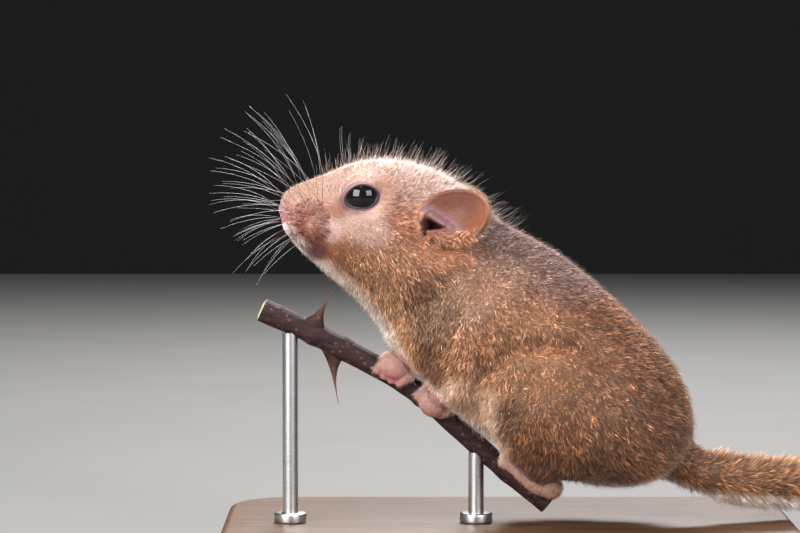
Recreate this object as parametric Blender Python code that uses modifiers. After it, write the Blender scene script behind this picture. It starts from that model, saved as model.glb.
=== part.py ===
"""A life-size hazel dormouse gripping a cut length of bramble stem, on a plain display stand.

Sizes are in millimetres and are scaled to metres as each mesh is made. The nose points to -X, the
animal's left side faces -Y, and the stand's underside is at Z = 0. The solids reach out to the tips
of the coat. The body is one tube of upright sections from nose to rump, parted at the neck, and the
legs, ears, eyes and tail are shapes of their own that the body is cut back from.
"""

import math

import bmesh
import bpy
from mathutils import Matrix, Vector

MM = 0.001
GAP = 0.3

# Each section of the body: crown (x, z), underside (x, z), half width, and how much wider its
# upper half is than its lower half.
BODY_SECTIONS = [
    ((-29.6, 47.3), (-29.6, 45.3), 0.9, 0.0),
    ((-29.0, 48.2), (-29.0, 44.0), 2.1, 0.0),
    ((-27.9, 49.1), (-27.8, 42.2), 3.1, -0.05),
    ((-26.3, 49.9), (-25.8, 40.0), 4.1, -0.10),
    ((-24.1, 50.6), (-23.6, 38.0), 5.1, -0.05),
    ((-21.8, 51.7), (-21.4, 36.2), 6.2, 0.06),
    ((-19.0, 52.6), (-19.7, 34.6), 7.3, 0.12),
    ((-14.9, 52.8), (-17.9, 32.6), 8.4, 0.14),
    ((-10.9, 51.9), (-16.3, 30.3), 8.9, 0.12),
    ((-7.2, 50.3), (-15.3, 28.1), 8.8, 0.08),
    ((-4.3, 47.8), (-13.8, 26.4), 8.5, 0.02),
    ((-1.9, 45.5), (-12.3, 24.8), 8.7, -0.03),
    ((1.4, 43.6), (-10.7, 23.1), 9.5, -0.05),
    ((5.1, 41.6), (-8.8, 21.5), 10.4, -0.06),
    ((8.6, 39.2), (-7.0, 19.8), 11.2, -0.06),
    ((11.8, 36.4), (-5.0, 18.1), 12.0, -0.06),
    ((15.0, 33.4), (-2.4, 16.4), 12.7, -0.06),
    ((18.4, 30.0), (1.2, 14.7), 13.0, -0.05),
    ((21.8, 25.4), (6.4, 12.1), 12.5, -0.04),
    ((23.6, 20.4), (11.5, 10.6), 10.8, 0.0),
    ((23.3, 16.4), (16.7, 10.9), 7.4, 0.0),
    ((21.8, 14.3), (19.5, 12.2), 3.0, 0.0),
]
HEAD_STEPS = 1.6
TRUNK_STEPS = 1.3
SECTION_SIDES = 24
SECTION_SQUARENESS = 2.15
# The neck runs between these two sections, counted from the nose.
NECK_FRONT = 9.0
NECK_BACK = 11.5
CUT_SHARE = 0.06

EYE_CENTRE = (-18.8, 5.15, 48.1)
EYE_RADIUS = 2.6

EAR_CENTRE = (-7.0, 9.5, 45.4)
EAR_FACING = (-0.36, 0.92, 0.12)
EAR_RADII = (4.4, 3.6, 3.3)
EAR_WALL = 0.6

# The cut stem's middle line, thick end first, as (x, z), and its radii.
STEM_LINE = [(-31.8, 33.4), (-26.0, 30.8), (-21.2, 28.3), (-15.1, 25.0), (-10.9, 22.1),
             (-7.1, 18.7), (-1.3, 13.5), (4.9, 8.3)]
STEM_RADIUS_FRONT = 1.5
STEM_RADIUS_REAR = 1.25
# Each thorn: place along the stem as a share of its length, lean along the stem and out to the left,
# reach, and up or down.
THORNS = [(0.155, 0.9, 2.6, 6.6, 1.0), (0.255, -0.6, 0.8, 7.0, -1.0)]
THORN_BASE_RADIUS = 1.5
THORN_TIP_RADIUS = 0.27

# Limbs are given for the left side, with y pointing out from the animal's middle.
SHOULDER = (-2.4, 6.1, 31.0)
SHOULDER_RADII = (6.6, 5.2, 8.6)
SHOULDER_LEAN_DEG = 16.0
THIGH_CENTRE = (7.0, 7.4, 20.2)
THIGH_RADII = (10.8, 6.8, 8.0)
THIGH_LEAN_DEG = 14.0
SHANK = [((0.8, 9.0, 18.6), 3.7), ((1.3, 8.8, 15.8), 3.2), ((2.8, 7.8, 13.4), 2.5), ((4.6, 6.4, 11.7), 1.9)]
HIND_FOOT = [((5.2, 6.0, 11.2), 1.35), ((3.7, 4.8, 11.6), 1.3), ((2.2, 3.5, 12.6), 1.35), ((0.9, 2.4, 13.6), 1.2)]
NEAR_FOREARM = [((-4.6, 7.6, 26.6), 3.6), ((-5.6, 6.6, 24.0), 2.9), ((-7.4, 4.4, 22.9), 2.0), ((-9.8, 2.3, 23.2), 1.5)]
FAR_FOREARM = [((-5.4, 6.8, 28.6), 3.6), ((-7.8, 5.0, 27.6), 2.8), ((-10.6, 2.4, 27.0), 1.9), ((-13.3, -0.2, 26.6), 1.4)]
PALM_RADII = (1.9, 1.35, 1.55)
NEAR_PALM = (-10.7, -1.5, 23.0)
FAR_PALM = (-14.4, -1.1, 26.0)
FINGER_RADIUS = 0.55
FINGER_SPACING = 1.0
CLAW_RADIUS = 0.26
# Feet and legs are melted from overlapping shapes on a grid this fine, then lightened to so many faces.
FOOT_GRID = 0.25
FORE_FOOT_FACES = 280
HIND_FOOT_FACES = 200
LEG_GRID = 0.45
LEG_FACES = 220
MELT_SMOOTHING = 4

TAIL_LINE = [(19.6, 0.0, 14.6), (25.0, -0.6, 12.6), (33.0, 1.0, 11.0), (43.0, 5.0, 10.8),
             (53.0, 9.5, 12.0), (62.0, 12.5, 14.4), (71.0, 13.5, 17.4)]
TAIL_RADII = [2.9, 3.2, 3.4, 3.4, 3.2, 2.6, 0.9]
TAIL_PIECES = 3
TAIL_STEPS = 8
# The share of one knot's spacing left open between two lengths of tail.
TAIL_PART = 0.035

BASE_SIZE = (74.0, 52.0, 6.0)
BASE_CORNER = 9.0
BASE_EDGE = 1.1
ROD_RADIUS = 1.0
ROD_XS = {"stand_rod_front": -28.2, "stand_rod_rear": -4.3}

FUR = ((0.55, 0.32, 0.17), 0.85, 0.0)
PALE_FUR = ((0.66, 0.42, 0.26), 0.85, 0.0)
PINK_SKIN = ((0.72, 0.38, 0.34), 0.6, 0.0)
EAR_SKIN = ((0.55, 0.28, 0.2), 0.6, 0.0)
EYE_BLACK = ((0.006, 0.005, 0.006), 0.06, 0.0)
BARK = ((0.13, 0.055, 0.06), 0.6, 0.0)
WOOD = ((0.3, 0.17, 0.09), 0.5, 0.0)
STEEL = ((0.6, 0.6, 0.6), 0.3, 1.0)


def clear_scene():
    for obj in list(bpy.data.objects):
        bpy.data.objects.remove(obj)


def new_collection(name):
    collection = bpy.data.collections.new(name)
    bpy.context.scene.collection.children.link(collection)
    return collection


def material(name, finish):
    colour, roughness, metallic = finish
    made = bpy.data.materials.get(name) or bpy.data.materials.new(name)
    made.use_nodes = True
    shader = made.node_tree.nodes["Principled BSDF"]
    shader.inputs["Base Color"].default_value = (*colour, 1.0)
    shader.inputs["Roughness"].default_value = roughness
    shader.inputs["Metallic"].default_value = metallic
    return made


def object_from(bm, name):
    """Turns a bmesh in millimetres into an object in metres, with its faces pointing out."""
    bmesh.ops.recalc_face_normals(bm, faces=bm.faces)
    bmesh.ops.scale(bm, vec=(MM, MM, MM), verts=bm.verts)
    mesh = bpy.data.meshes.new(name)
    bm.to_mesh(mesh)
    bm.free()
    mesh.shade_smooth()
    return bpy.data.objects.new(name, mesh)


def as_part(obj, finish_name, finish):
    parts.objects.link(obj)
    obj.data.materials.clear()
    obj.data.materials.append(material(finish_name, finish))
    return obj


def as_cutter(obj):
    cutters.objects.link(obj)
    obj.hide_render = True
    obj.display_type = "WIRE"
    return obj


def boolean(obj, other, operation, solver="EXACT"):
    modifier = obj.modifiers.new(f"{operation.lower()}_{other.name}", "BOOLEAN")
    modifier.operation = operation
    modifier.solver = solver
    modifier.object = other


def blend(values, place):
    """A smooth curve through equally spaced values (numbers or vectors), read at a fractional place."""
    last = len(values) - 1
    index = min(max(int(math.floor(place)), 0), last - 1)
    t = place - index
    a, b, c, d = (values[min(max(index + k, 0), last)] for k in (-1, 0, 1, 2))
    return 0.5 * (2 * b + (c - a) * t + (2 * a - 5 * b + 4 * c - d) * t * t + (3 * b - a - 3 * c + d) * t**3)


def body_section(place, grow=0.0):
    """One ring of the body, at a fractional section number, as points in millimetres."""
    crown = blend([Vector((s[0][0], 0.0, s[0][1])) for s in BODY_SECTIONS], place)
    under = blend([Vector((s[1][0], 0.0, s[1][1])) for s in BODY_SECTIONS], place)
    half_width = blend([s[2] for s in BODY_SECTIONS], place) + grow
    top_heavy = blend([s[3] for s in BODY_SECTIONS], place)
    middle = (crown + under) / 2
    up = (crown - under) / 2
    up += up.normalized() * grow
    power = 2 / SECTION_SQUARENESS
    ring = []
    for i in range(SECTION_SIDES):
        angle = 2 * math.pi * i / SECTION_SIDES
        c, s = math.cos(angle), math.sin(angle)
        across = math.copysign(abs(c) ** power, c) * half_width * (1 + top_heavy * s)
        ring.append(middle + up * math.copysign(abs(s) ** power, s) + Vector((0.0, across, 0.0)))
    return ring


def loft(name, rings):
    """A closed skin over rings of equal count, each end closed with one flat face."""
    bm = bmesh.new()
    loops = [[bm.verts.new(point) for point in ring] for ring in rings]
    count = len(rings[0])
    for near, far in zip(loops, loops[1:]):
        for i in range(count):
            j = (i + 1) % count
            bm.faces.new((near[i], near[j], far[j], far[i]))
    bm.faces.new(reversed(loops[0]))
    bm.faces.new(loops[-1])
    return object_from(bm, name)


def body_piece(name, start, end, steps_each, grow=0.0):
    steps = round((end - start) * steps_each)
    places = [start + (end - start) * k / steps for k in range(steps + 1)]
    return loft(name, [body_section(place, grow) for place in places])


def ellipsoid(name, centre, radii, turn=None, sides=22, rings=12):
    bm = bmesh.new()
    bmesh.ops.create_uvsphere(bm, u_segments=sides, v_segments=rings, radius=1.0)
    bmesh.ops.scale(bm, vec=radii, verts=bm.verts)
    if turn:
        bmesh.ops.rotate(bm, cent=(0, 0, 0), matrix=turn, verts=bm.verts)
    bmesh.ops.translate(bm, vec=centre, verts=bm.verts)
    return object_from(bm, name)


def evaluated_mesh(obj, name):
    bpy.context.view_layer.update()
    mesh = bpy.data.meshes.new_from_object(obj.evaluated_get(bpy.context.evaluated_depsgraph_get()))
    mesh.name = name
    return mesh


def tube(name, points, radii, grow=0.0, resolution=2):
    """A round tube of changing radius through points in millimetres, as a mesh with welded caps."""
    curve = bpy.data.curves.new(name, "CURVE")
    curve.dimensions = "3D"
    curve.bevel_depth = MM
    curve.bevel_resolution = resolution
    curve.use_fill_caps = True
    spline = curve.splines.new("POLY")
    spline.points.add(len(points) - 1)
    for knot, point, radius in zip(spline.points, points, radii):
        knot.co = (*(Vector(point) * MM), 1.0)
        knot.radius = radius + grow
    guide = bpy.data.objects.new(name + "_line", curve)
    bpy.context.scene.collection.objects.link(guide)
    mesh = evaluated_mesh(guide, name)
    bpy.data.objects.remove(guide)
    bm = bmesh.new()
    bm.from_mesh(mesh)
    bmesh.ops.remove_doubles(bm, verts=bm.verts, dist=1e-6)
    bmesh.ops.recalc_face_normals(bm, faces=bm.faces)
    bm.to_mesh(mesh)
    bm.free()
    return bpy.data.objects.new(name, mesh)


def smooth_tube(name, knots, steps=3):
    """A tube through (point, radius) knots, rounded between them."""
    places = [k / steps for k in range(steps * (len(knots) - 1) + 1)]
    points = [blend([Vector(p) for p, _ in knots], place) for place in places]
    radii = [blend([r for _, r in knots], place) for place in places]
    return tube(name, points, radii)


def mirrored(point, side):
    """A point given for the left side, placed on the left (side -1) or the right (side 1)."""
    return Vector((point[0], side * point[1], point[2]))


def largest_body(obj):
    """Settles a solid's cuts and drops the crumbs that they parted from it."""
    mesh = evaluated_mesh(obj, obj.name)
    obj.modifiers.clear()
    obj.data = mesh
    bm = bmesh.new()
    bm.from_mesh(mesh)
    left, bodies = set(bm.verts), []
    while left:
        body, edge = set(), [left.pop()]
        while edge:
            vertex = edge.pop()
            body.add(vertex)
            near = {link.other_vert(vertex) for link in vertex.link_edges} & left
            left -= near
            edge += near
        bodies.append(body)
    bodies.sort(key=len)
    crumbs = [vertex for body in bodies[:-1] for vertex in body]
    bmesh.ops.delete(bm, geom=crumbs, context="VERTS")
    bm.to_mesh(mesh)
    bm.free()


def melted(name, shapes, grid, faces):
    """Melts overlapping shapes into one soft closed solid with about so many triangles."""
    bm = bmesh.new()
    for shape in shapes:
        bm.from_mesh(shape.data)
        bpy.data.objects.remove(shape)
    mesh = bpy.data.meshes.new(name)
    bm.to_mesh(mesh)
    bm.free()
    lump = bpy.data.objects.new(name + "_lump", mesh)
    bpy.context.scene.collection.objects.link(lump)
    melt = lump.modifiers.new("melt", "REMESH")
    melt.mode = "VOXEL"
    melt.voxel_size = grid * MM
    soften = lump.modifiers.new("soften", "SMOOTH")
    soften.iterations = MELT_SMOOTHING
    fine = evaluated_mesh(lump, name)
    lighten = lump.modifiers.new("lighten", "DECIMATE")
    lighten.ratio = faces / (2 * len(fine.polygons))
    solid = evaluated_mesh(lump, name)
    bpy.data.objects.remove(lump)
    return bpy.data.objects.new(name, solid)


def grown(obj, name):
    """A copy of a solid pushed out by the gap, which its neighbours are cut back from."""
    mesh = obj.data.copy()
    normals = [vertex.normal.copy() for vertex in mesh.vertices]
    for vertex, normal in zip(mesh.vertices, normals):
        vertex.co += normal * GAP * MM
    return as_cutter(bpy.data.objects.new(name, mesh))


def stem_point(share):
    line = [Vector((x, 0.0, z)) for x, z in STEM_LINE]
    return blend(line, share * (len(line) - 1))


def stem_frame(share):
    """The stem's middle, its downhill direction, and the direction square to it that points up."""
    step = 0.01
    along = (stem_point(min(share + step, 1.0)) - stem_point(max(share - step, 0.0))).normalized()
    return stem_point(share), along, Vector((-along.z, 0.0, along.x))


def stem_radius(share):
    return STEM_RADIUS_FRONT + (STEM_RADIUS_REAR - STEM_RADIUS_FRONT) * share


def stem_share_at(x):
    """How far along the stem the point with this x lies."""
    low, high = 0.0, 1.0
    for _ in range(30):
        middle = (low + high) / 2
        low, high = (middle, high) if stem_point(middle).x < x else (low, middle)
    return low


def make_stem(name, grow=0.0):
    steps = 16
    shares = [k / steps for k in range(steps + 1)]
    return tube(name, [stem_point(s) for s in shares], [stem_radius(s) for s in shares], grow)


def make_thorn(index):
    """A hooked thorn: a wide foot on the stem that narrows quickly to a point."""
    share, lean, lean_out, reach, way = THORNS[index]
    root, along, up = stem_frame(share)
    steps = 7
    points, radii = [], []
    for k in range(steps + 1):
        t = k / steps
        bend = along * lean * (t * t * 3.4 - t * 0.6) - Vector((0, lean_out * t, 0))
        points.append(root + up * way * reach * t + bend)
        radii.append(THORN_TIP_RADIUS + (THORN_BASE_RADIUS - THORN_TIP_RADIUS) * (1 - t) ** 1.9)
    return tube(f"thorn_{index}", points, radii, resolution=1)


def toe(name, share, side, first_deg, last_deg, spread, root):
    """A digit from root that bends round the stem at one place on it and ends in a short claw.

    The angle is measured round the stem: 90 is the stem's top, 0 its side towards side * Y, and
    negative angles are underneath. spread moves the tip along the stem.
    """
    middle, along, up = stem_frame(share)
    out = Vector((0.0, float(side), 0.0))
    reach = stem_radius(share) + FINGER_RADIUS * 0.9
    steps = 6
    points, radii = [Vector(root)], [FINGER_RADIUS * 1.15]
    for k in range(steps + 1):
        t = k / steps
        angle = math.radians(first_deg + (last_deg - first_deg) * t)
        lift = 0.3 * math.sin(math.pi * t)
        points.append(middle + (out * math.cos(angle) + up * math.sin(angle)) * (reach + lift) + along * spread * t)
        radii.append(FINGER_RADIUS * (1.0 + 0.12 * math.cos(3 * math.pi * t)))
    radii[-1] = CLAW_RADIUS
    return tube(name, points, radii, resolution=1)


def fore_foot(name, palm, first_x):
    """A hand laid over the stem with four fingers draped down its near side."""
    shapes = [ellipsoid(name, palm, PALM_RADII, Matrix.Rotation(math.radians(35), 3, "Y"), sides=14, rings=8)]
    for i in range(4):
        share = stem_share_at(first_x + i * FINGER_SPACING)
        root = Vector(palm) + Vector((-0.7 + 0.45 * i, -0.2, -0.1))
        last_deg = -55 + 6 * abs(i - 1.5)
        shapes.append(toe(f"{name}_finger_{i}", share, -1, 62, last_deg, -0.3, root))
    return shapes


def hind_foot(name, side):
    """A long foot up the side of the stem, with five toes bent over its top."""
    shapes = [smooth_tube(name, [(mirrored(p, side), r) for p, r in HIND_FOOT], steps=2)]
    for i in range(5):
        share = stem_share_at(-2.5 + i * 1.05 + (0.5 if side > 0 else 0.0))
        root = mirrored((0.7 + 0.22 * i, 2.5, 13.5 - 0.2 * i), side)
        shapes.append(toe(f"{name}_toe_{i}", share, side, 20, 66, -0.6, root))
    return shapes


def hind_leg(name, side):
    turn = Matrix.Rotation(math.radians(THIGH_LEAN_DEG), 3, "Y")
    thigh = ellipsoid(name, mirrored(THIGH_CENTRE, side), THIGH_RADII, turn)
    return [thigh, smooth_tube(name + "_shank", [(mirrored(p, side), r) for p, r in SHANK])]


def fore_leg(name, side, forearm):
    turn = Matrix.Rotation(math.radians(SHOULDER_LEAN_DEG), 3, "Y")
    shoulder = ellipsoid(name, mirrored(SHOULDER, side), SHOULDER_RADII, turn)
    return [shoulder, smooth_tube(name + "_arm", [(mirrored(p, side), r) for p, r in forearm])]


def ear(name, side):
    """Half of a hollow egg whose open side faces out and forwards."""
    facing = mirrored(EAR_FACING, side).normalized()
    bm = bmesh.new()
    bmesh.ops.create_uvsphere(bm, u_segments=16, v_segments=10, radius=1.0)
    bmesh.ops.bisect_plane(bm, geom=bm.verts[:] + bm.edges[:] + bm.faces[:], plane_co=(0, 0, 0.08),
                           plane_no=(0, 0, 1), clear_outer=True)
    bmesh.ops.scale(bm, vec=EAR_RADII, verts=bm.verts)
    across = Vector((0, 0, 1)).cross(facing).normalized()
    turn = Matrix((across, facing.cross(across), facing)).transposed()
    bmesh.ops.rotate(bm, cent=(0, 0, 0), matrix=turn, verts=bm.verts)
    bmesh.ops.translate(bm, vec=mirrored(EAR_CENTRE, side), verts=bm.verts)
    shell = object_from(bm, name)
    wall = shell.modifiers.new("wall", "SOLIDIFY")
    wall.thickness = EAR_WALL * MM
    wall.offset = -1
    return shell


def tail_piece(index):
    """One length of the tail, parted from the next by the gap."""
    span = len(TAIL_LINE) - 1
    start = span * index / TAIL_PIECES
    end = span * (index + 1) / TAIL_PIECES - (TAIL_PART if index < TAIL_PIECES - 1 else 0.0)
    places = [start + (end - start) * k / TAIL_STEPS for k in range(TAIL_STEPS + 1)]
    points = [blend([Vector(p) for p in TAIL_LINE], place) for place in places]
    radii = [blend(TAIL_RADII, place) for place in places]
    return tube(f"tail_{index + 1}", points, radii, resolution=3)


def stand_base():
    """A flat plate with rounded corners and softened edges."""
    bm = bmesh.new()
    bmesh.ops.create_cube(bm, size=1.0)
    bmesh.ops.scale(bm, vec=BASE_SIZE, verts=bm.verts)
    bmesh.ops.translate(bm, vec=(0, 0, BASE_SIZE[2] / 2), verts=bm.verts)
    upright = [e for e in bm.edges if abs(e.verts[0].co.z - e.verts[1].co.z) > 1]
    bmesh.ops.bevel(bm, geom=upright, offset=BASE_CORNER, segments=6, profile=0.5, affect="EDGES")
    top = [e for e in bm.edges if min(v.co.z for v in e.verts) > BASE_SIZE[2] - 0.01]
    bmesh.ops.bevel(bm, geom=top, offset=BASE_EDGE, segments=3, profile=0.5, affect="EDGES")
    return object_from(bm, "stand_base")


def stand_rod(name, x):
    foot, top = BASE_SIZE[2] + GAP, stem_point(stem_share_at(x)).z
    bm = bmesh.new()
    bmesh.ops.create_cone(bm, cap_ends=True, segments=20, radius1=ROD_RADIUS, radius2=ROD_RADIUS, depth=top - foot)
    bmesh.ops.translate(bm, vec=(x, 0, (top + foot) / 2), verts=bm.verts)
    return object_from(bm, name)


clear_scene()
parts = new_collection("hazel_dormouse")
cutters = new_collection("cutters")
last_section = float(len(BODY_SECTIONS) - 1)

# The stem, with its thorns grown on, and a fatter copy that everything on it is cut back from.
stem = as_part(make_stem("perch_stem"), "bark", BARK)
for thorn in [as_cutter(make_thorn(i)) for i in range(len(THORNS))]:
    boolean(stem, thorn, "UNION")
stem_space = as_cutter(make_stem("stem_space", GAP))

# The feet, which close round the stem.
feet = [
    melted("forefoot_left", fore_foot("fore_left", NEAR_PALM, -12.9), FOOT_GRID, FORE_FOOT_FACES),
    melted("forefoot_right", fore_foot("fore_right", FAR_PALM, -17.0), FOOT_GRID, FORE_FOOT_FACES),
    melted("hindfoot_left", hind_foot("hind_left", -1), FOOT_GRID, HIND_FOOT_FACES),
    melted("hindfoot_right", hind_foot("hind_right", 1), FOOT_GRID, HIND_FOOT_FACES),
]
foot_spaces = [grown(foot, foot.name + "_space") for foot in feet]
for foot in feet:
    boolean(as_part(foot, "pink_skin", PINK_SKIN), stem_space, "DIFFERENCE")

# The legs, cut back from the feet and the stem, and each hind leg from the foreleg ahead of it.
legs = [
    melted("foreleg_left", fore_leg("near_arm", -1, NEAR_FOREARM), LEG_GRID, LEG_FACES),
    melted("foreleg_right", fore_leg("far_arm", 1, FAR_FOREARM), LEG_GRID, LEG_FACES),
    melted("hindleg_left", hind_leg("near_thigh", -1), LEG_GRID, LEG_FACES),
    melted("hindleg_right", hind_leg("far_thigh", 1), LEG_GRID, LEG_FACES),
]
leg_spaces = [grown(leg, leg.name + "_space") for leg in legs]
for index, leg in enumerate(legs):
    as_part(leg, "fur", FUR)
    near_leg = [leg_spaces[index - 2]] if index >= 2 else []
    for space in foot_spaces + [stem_space] + near_leg:
        boolean(leg, space, "DIFFERENCE", "MANIFOLD")

# The body in three lengths, cut back from the limbs and the stem.
head = as_part(body_piece("head", 0.0, NECK_FRONT - CUT_SHARE, HEAD_STEPS), "pale_fur", PALE_FUR)
neck = as_part(body_piece("neck", NECK_FRONT, NECK_BACK - CUT_SHARE, HEAD_STEPS), "fur", FUR)
trunk = as_part(body_piece("trunk", NECK_BACK, last_section, TRUNK_STEPS), "fur", FUR)
for length in (head, neck, trunk):
    for space in leg_spaces + foot_spaces + [stem_space]:
        boolean(length, space, "DIFFERENCE", "MANIFOLD")
    largest_body(length)

# The eyes, each in a socket that clears it by the gap.
for name, side in (("left", -1), ("right", 1)):
    centre = mirrored(EYE_CENTRE, side)
    as_part(ellipsoid(f"eye_{name}", centre, (EYE_RADIUS,) * 3, sides=18, rings=10), "eye_black", EYE_BLACK)
    socket = ellipsoid(f"socket_{name}", centre, (EYE_RADIUS + GAP,) * 3, sides=18, rings=10)
    boolean(head, as_cutter(socket), "DIFFERENCE")

# The ears, cut back from a fatter copy of the body.
body_space = as_cutter(body_piece("body_space", 0.0, last_section, HEAD_STEPS, GAP))
for name, side in (("left", -1), ("right", 1)):
    boolean(as_part(ear(f"ear_{name}", side), "ear_skin", EAR_SKIN), body_space, "DIFFERENCE")

# The tail in three lengths, its root cut back from the body.
for index in range(TAIL_PIECES):
    length = as_part(tail_piece(index), "fur", FUR)
    if index == 0:
        boolean(length, body_space, "DIFFERENCE")

# The plain stand: a flat base, and two rods up to the stem.
as_part(stand_base(), "wood", WOOD)
for name, x in ROD_XS.items():
    boolean(as_part(stand_rod(name, x), "steel", STEEL), stem_space, "DIFFERENCE")
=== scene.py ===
import math

import bmesh
import bpy
import numpy as np
from mathutils import Matrix, Vector, kdtree


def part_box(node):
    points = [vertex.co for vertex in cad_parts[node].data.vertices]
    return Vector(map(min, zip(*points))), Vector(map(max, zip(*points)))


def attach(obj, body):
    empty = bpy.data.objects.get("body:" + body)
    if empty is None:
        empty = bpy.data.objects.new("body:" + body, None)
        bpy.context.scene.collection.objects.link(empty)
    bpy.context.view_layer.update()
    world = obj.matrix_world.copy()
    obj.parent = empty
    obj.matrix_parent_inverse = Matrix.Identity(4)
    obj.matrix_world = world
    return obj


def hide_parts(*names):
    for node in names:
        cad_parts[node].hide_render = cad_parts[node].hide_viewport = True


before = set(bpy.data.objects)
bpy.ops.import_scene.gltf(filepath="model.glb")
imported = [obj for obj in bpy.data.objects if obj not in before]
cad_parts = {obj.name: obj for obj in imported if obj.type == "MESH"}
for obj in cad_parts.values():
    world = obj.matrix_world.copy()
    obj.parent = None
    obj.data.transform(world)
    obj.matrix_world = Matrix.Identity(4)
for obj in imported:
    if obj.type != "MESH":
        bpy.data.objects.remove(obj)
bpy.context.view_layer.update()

# The stand's base is a small block of oiled walnut with rounded corners and a softened top edge.
# It is cut flat below, so it stands by its own weight, and its grain runs along its length.
MM = 0.001


def settle(bm, name, finish, slot, *replaced):
    """Makes a bmesh in millimetres a finished piece of the model, riding on its one body."""
    bmesh.ops.scale(bm, vec=(MM, MM, MM), verts=bm.verts)
    mesh = bpy.data.meshes.new(name)
    bm.to_mesh(mesh)
    bm.free()
    return settle_mesh(mesh, name, finish, slot, *replaced)


def settle_mesh(mesh, name, finish, slot, *replaced):
    """The same for a mesh that is already in metres."""
    mesh.shade_smooth()
    piece = bpy.data.objects.new(name, mesh)
    bpy.context.scene.collection.objects.link(piece)
    piece.data.materials.clear()
    piece.data.materials.append(finish)
    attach(piece, "root")
    if replaced:
        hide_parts(*replaced)
    return piece


def new_finish(name, **shader_values):
    """A material, its node tree and its shader, with the named shader sockets set."""
    finish = bpy.data.materials.new(name)
    finish.use_nodes = True
    shader = finish.node_tree.nodes["Principled BSDF"]
    for socket, value in shader_values.items():
        shader.inputs[socket.replace("_", " ")].default_value = value
    return finish, finish.node_tree, shader


def add(tree, kind, values=None, **settings):
    """A shader node with its settings, and its sockets' values by name."""
    node = tree.nodes.new(kind)
    for setting, value in settings.items():
        setattr(node, setting, value)
    for socket, value in (values or {}).items():
        node.inputs[socket].default_value = value
    return node


def ramp(tree, source, stops):
    """A colour ramp over source, from (position, colour) stops."""
    node = add(tree, "ShaderNodeValToRGB")
    tree.links.new(source, node.inputs["Fac"])
    elements = node.color_ramp.elements
    for index, (position, colour) in enumerate(stops):
        element = elements[index] if index < 2 else elements.new(position)
        element.position = position
        element.color = (*colour, 1.0)
    return node.outputs["Color"]


def new_group(name, inputs, outputs):
    """An empty shader group with typed sockets: its tree, its inside inputs and its inside outputs."""
    tree = bpy.data.node_groups.new(name, "ShaderNodeTree")
    for socket, (kind, value) in inputs.items():
        made = tree.interface.new_socket(name=socket, in_out="INPUT", socket_type="NodeSocket" + kind)
        made.default_value = value
    for socket, kind in outputs.items():
        tree.interface.new_socket(name=socket, in_out="OUTPUT", socket_type="NodeSocket" + kind)
    return tree, add(tree, "NodeGroupInput"), add(tree, "NodeGroupOutput")


def use_group(tree, group, values=None):
    """A shader group placed in a material, with its own values."""
    node = add(tree, "ShaderNodeGroup", node_tree=group)
    for socket, value in (values or {}).items():
        node.inputs[socket].default_value = value
    return node


def streaks_group():
    """Long fine streaks, as in wood, bark and brushed metal: a broad tone, fine lines and their height."""
    inputs = {"Vector": ("Vector", (0.0, 0.0, 0.0)), "Scale": ("Float", 1.0)}
    outputs = {"Tone": "Float", "Lines": "Float", "Height": "Float"}
    tree, given, out = new_group("long_streaks", inputs, outputs)
    broad = add(tree, "ShaderNodeTexNoise", {"Detail": 4.0, "Roughness": 0.55, "Distortion": 0.4})
    fine = add(tree, "ShaderNodeTexNoise", {"Detail": 6.0, "Roughness": 0.7})
    faster = add(tree, "ShaderNodeMath", {1: 7.0}, operation="MULTIPLY")
    tree.links.new(given.outputs["Vector"], broad.inputs["Vector"])
    tree.links.new(given.outputs["Vector"], fine.inputs["Vector"])
    tree.links.new(given.outputs["Scale"], broad.inputs["Scale"])
    tree.links.new(given.outputs["Scale"], faster.inputs[0])
    tree.links.new(faster.outputs[0], fine.inputs["Scale"])
    height = add(tree, "ShaderNodeMath", {1: 0.4}, operation="MULTIPLY_ADD")
    tree.links.new(broad.outputs["Fac"], height.inputs[0])
    tree.links.new(fine.outputs["Fac"], height.inputs[2])
    tree.links.new(broad.outputs["Fac"], out.inputs["Tone"])
    tree.links.new(fine.outputs["Fac"], out.inputs["Lines"])
    tree.links.new(height.outputs[0], out.inputs["Height"])
    return tree


def streaked(tree, stretch, scale, turn=(0.0, 0.0, 0.0)):
    """The streaks over an object, squeezed along the direction that they run in."""
    place = add(tree, "ShaderNodeTexCoord")
    squeeze = add(tree, "ShaderNodeMapping", {"Scale": stretch, "Rotation": turn})
    lines = use_group(tree, streaks, {"Scale": scale})
    tree.links.new(place.outputs["Object"], squeeze.inputs["Vector"])
    tree.links.new(squeeze.outputs["Vector"], lines.inputs["Vector"])
    return lines


def bumped(tree, shader, height, distance, strength):
    """Gives a shader the fine relief of a height, as deep as distance in metres."""
    bump = add(tree, "ShaderNodeBump", {"Distance": distance, "Strength": strength})
    tree.links.new(height, bump.inputs["Height"])
    tree.links.new(bump.outputs["Normal"], shader.inputs["Normal"])


def spread(tree, source, low, high, start=0.0, end=1.0, **settings):
    """Maps a value that goes from start to end on to low to high."""
    values = {"From Min": start, "From Max": end, "To Min": low, "To Max": high}
    node = add(tree, "ShaderNodeMapRange", values, **settings)
    tree.links.new(source, node.inputs["Value"])
    return node.outputs["Result"]


def painted(tree, shader, colour, tone, smoothest, roughest):
    """Gives a shader its colour, and a roughness that follows a 0 to 1 tone."""
    tree.links.new(colour, shader.inputs["Base Color"])
    tree.links.new(spread(tree, tone, smoothest, roughest), shader.inputs["Roughness"])


def rounded(bm, edges, radius, segments):
    """Rounds edges over, as a router or a fine file does."""
    bmesh.ops.bevel(bm, geom=list(edges), offset=radius, segments=segments, profile=0.5, material=-1,
                    affect="EDGES")


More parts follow.
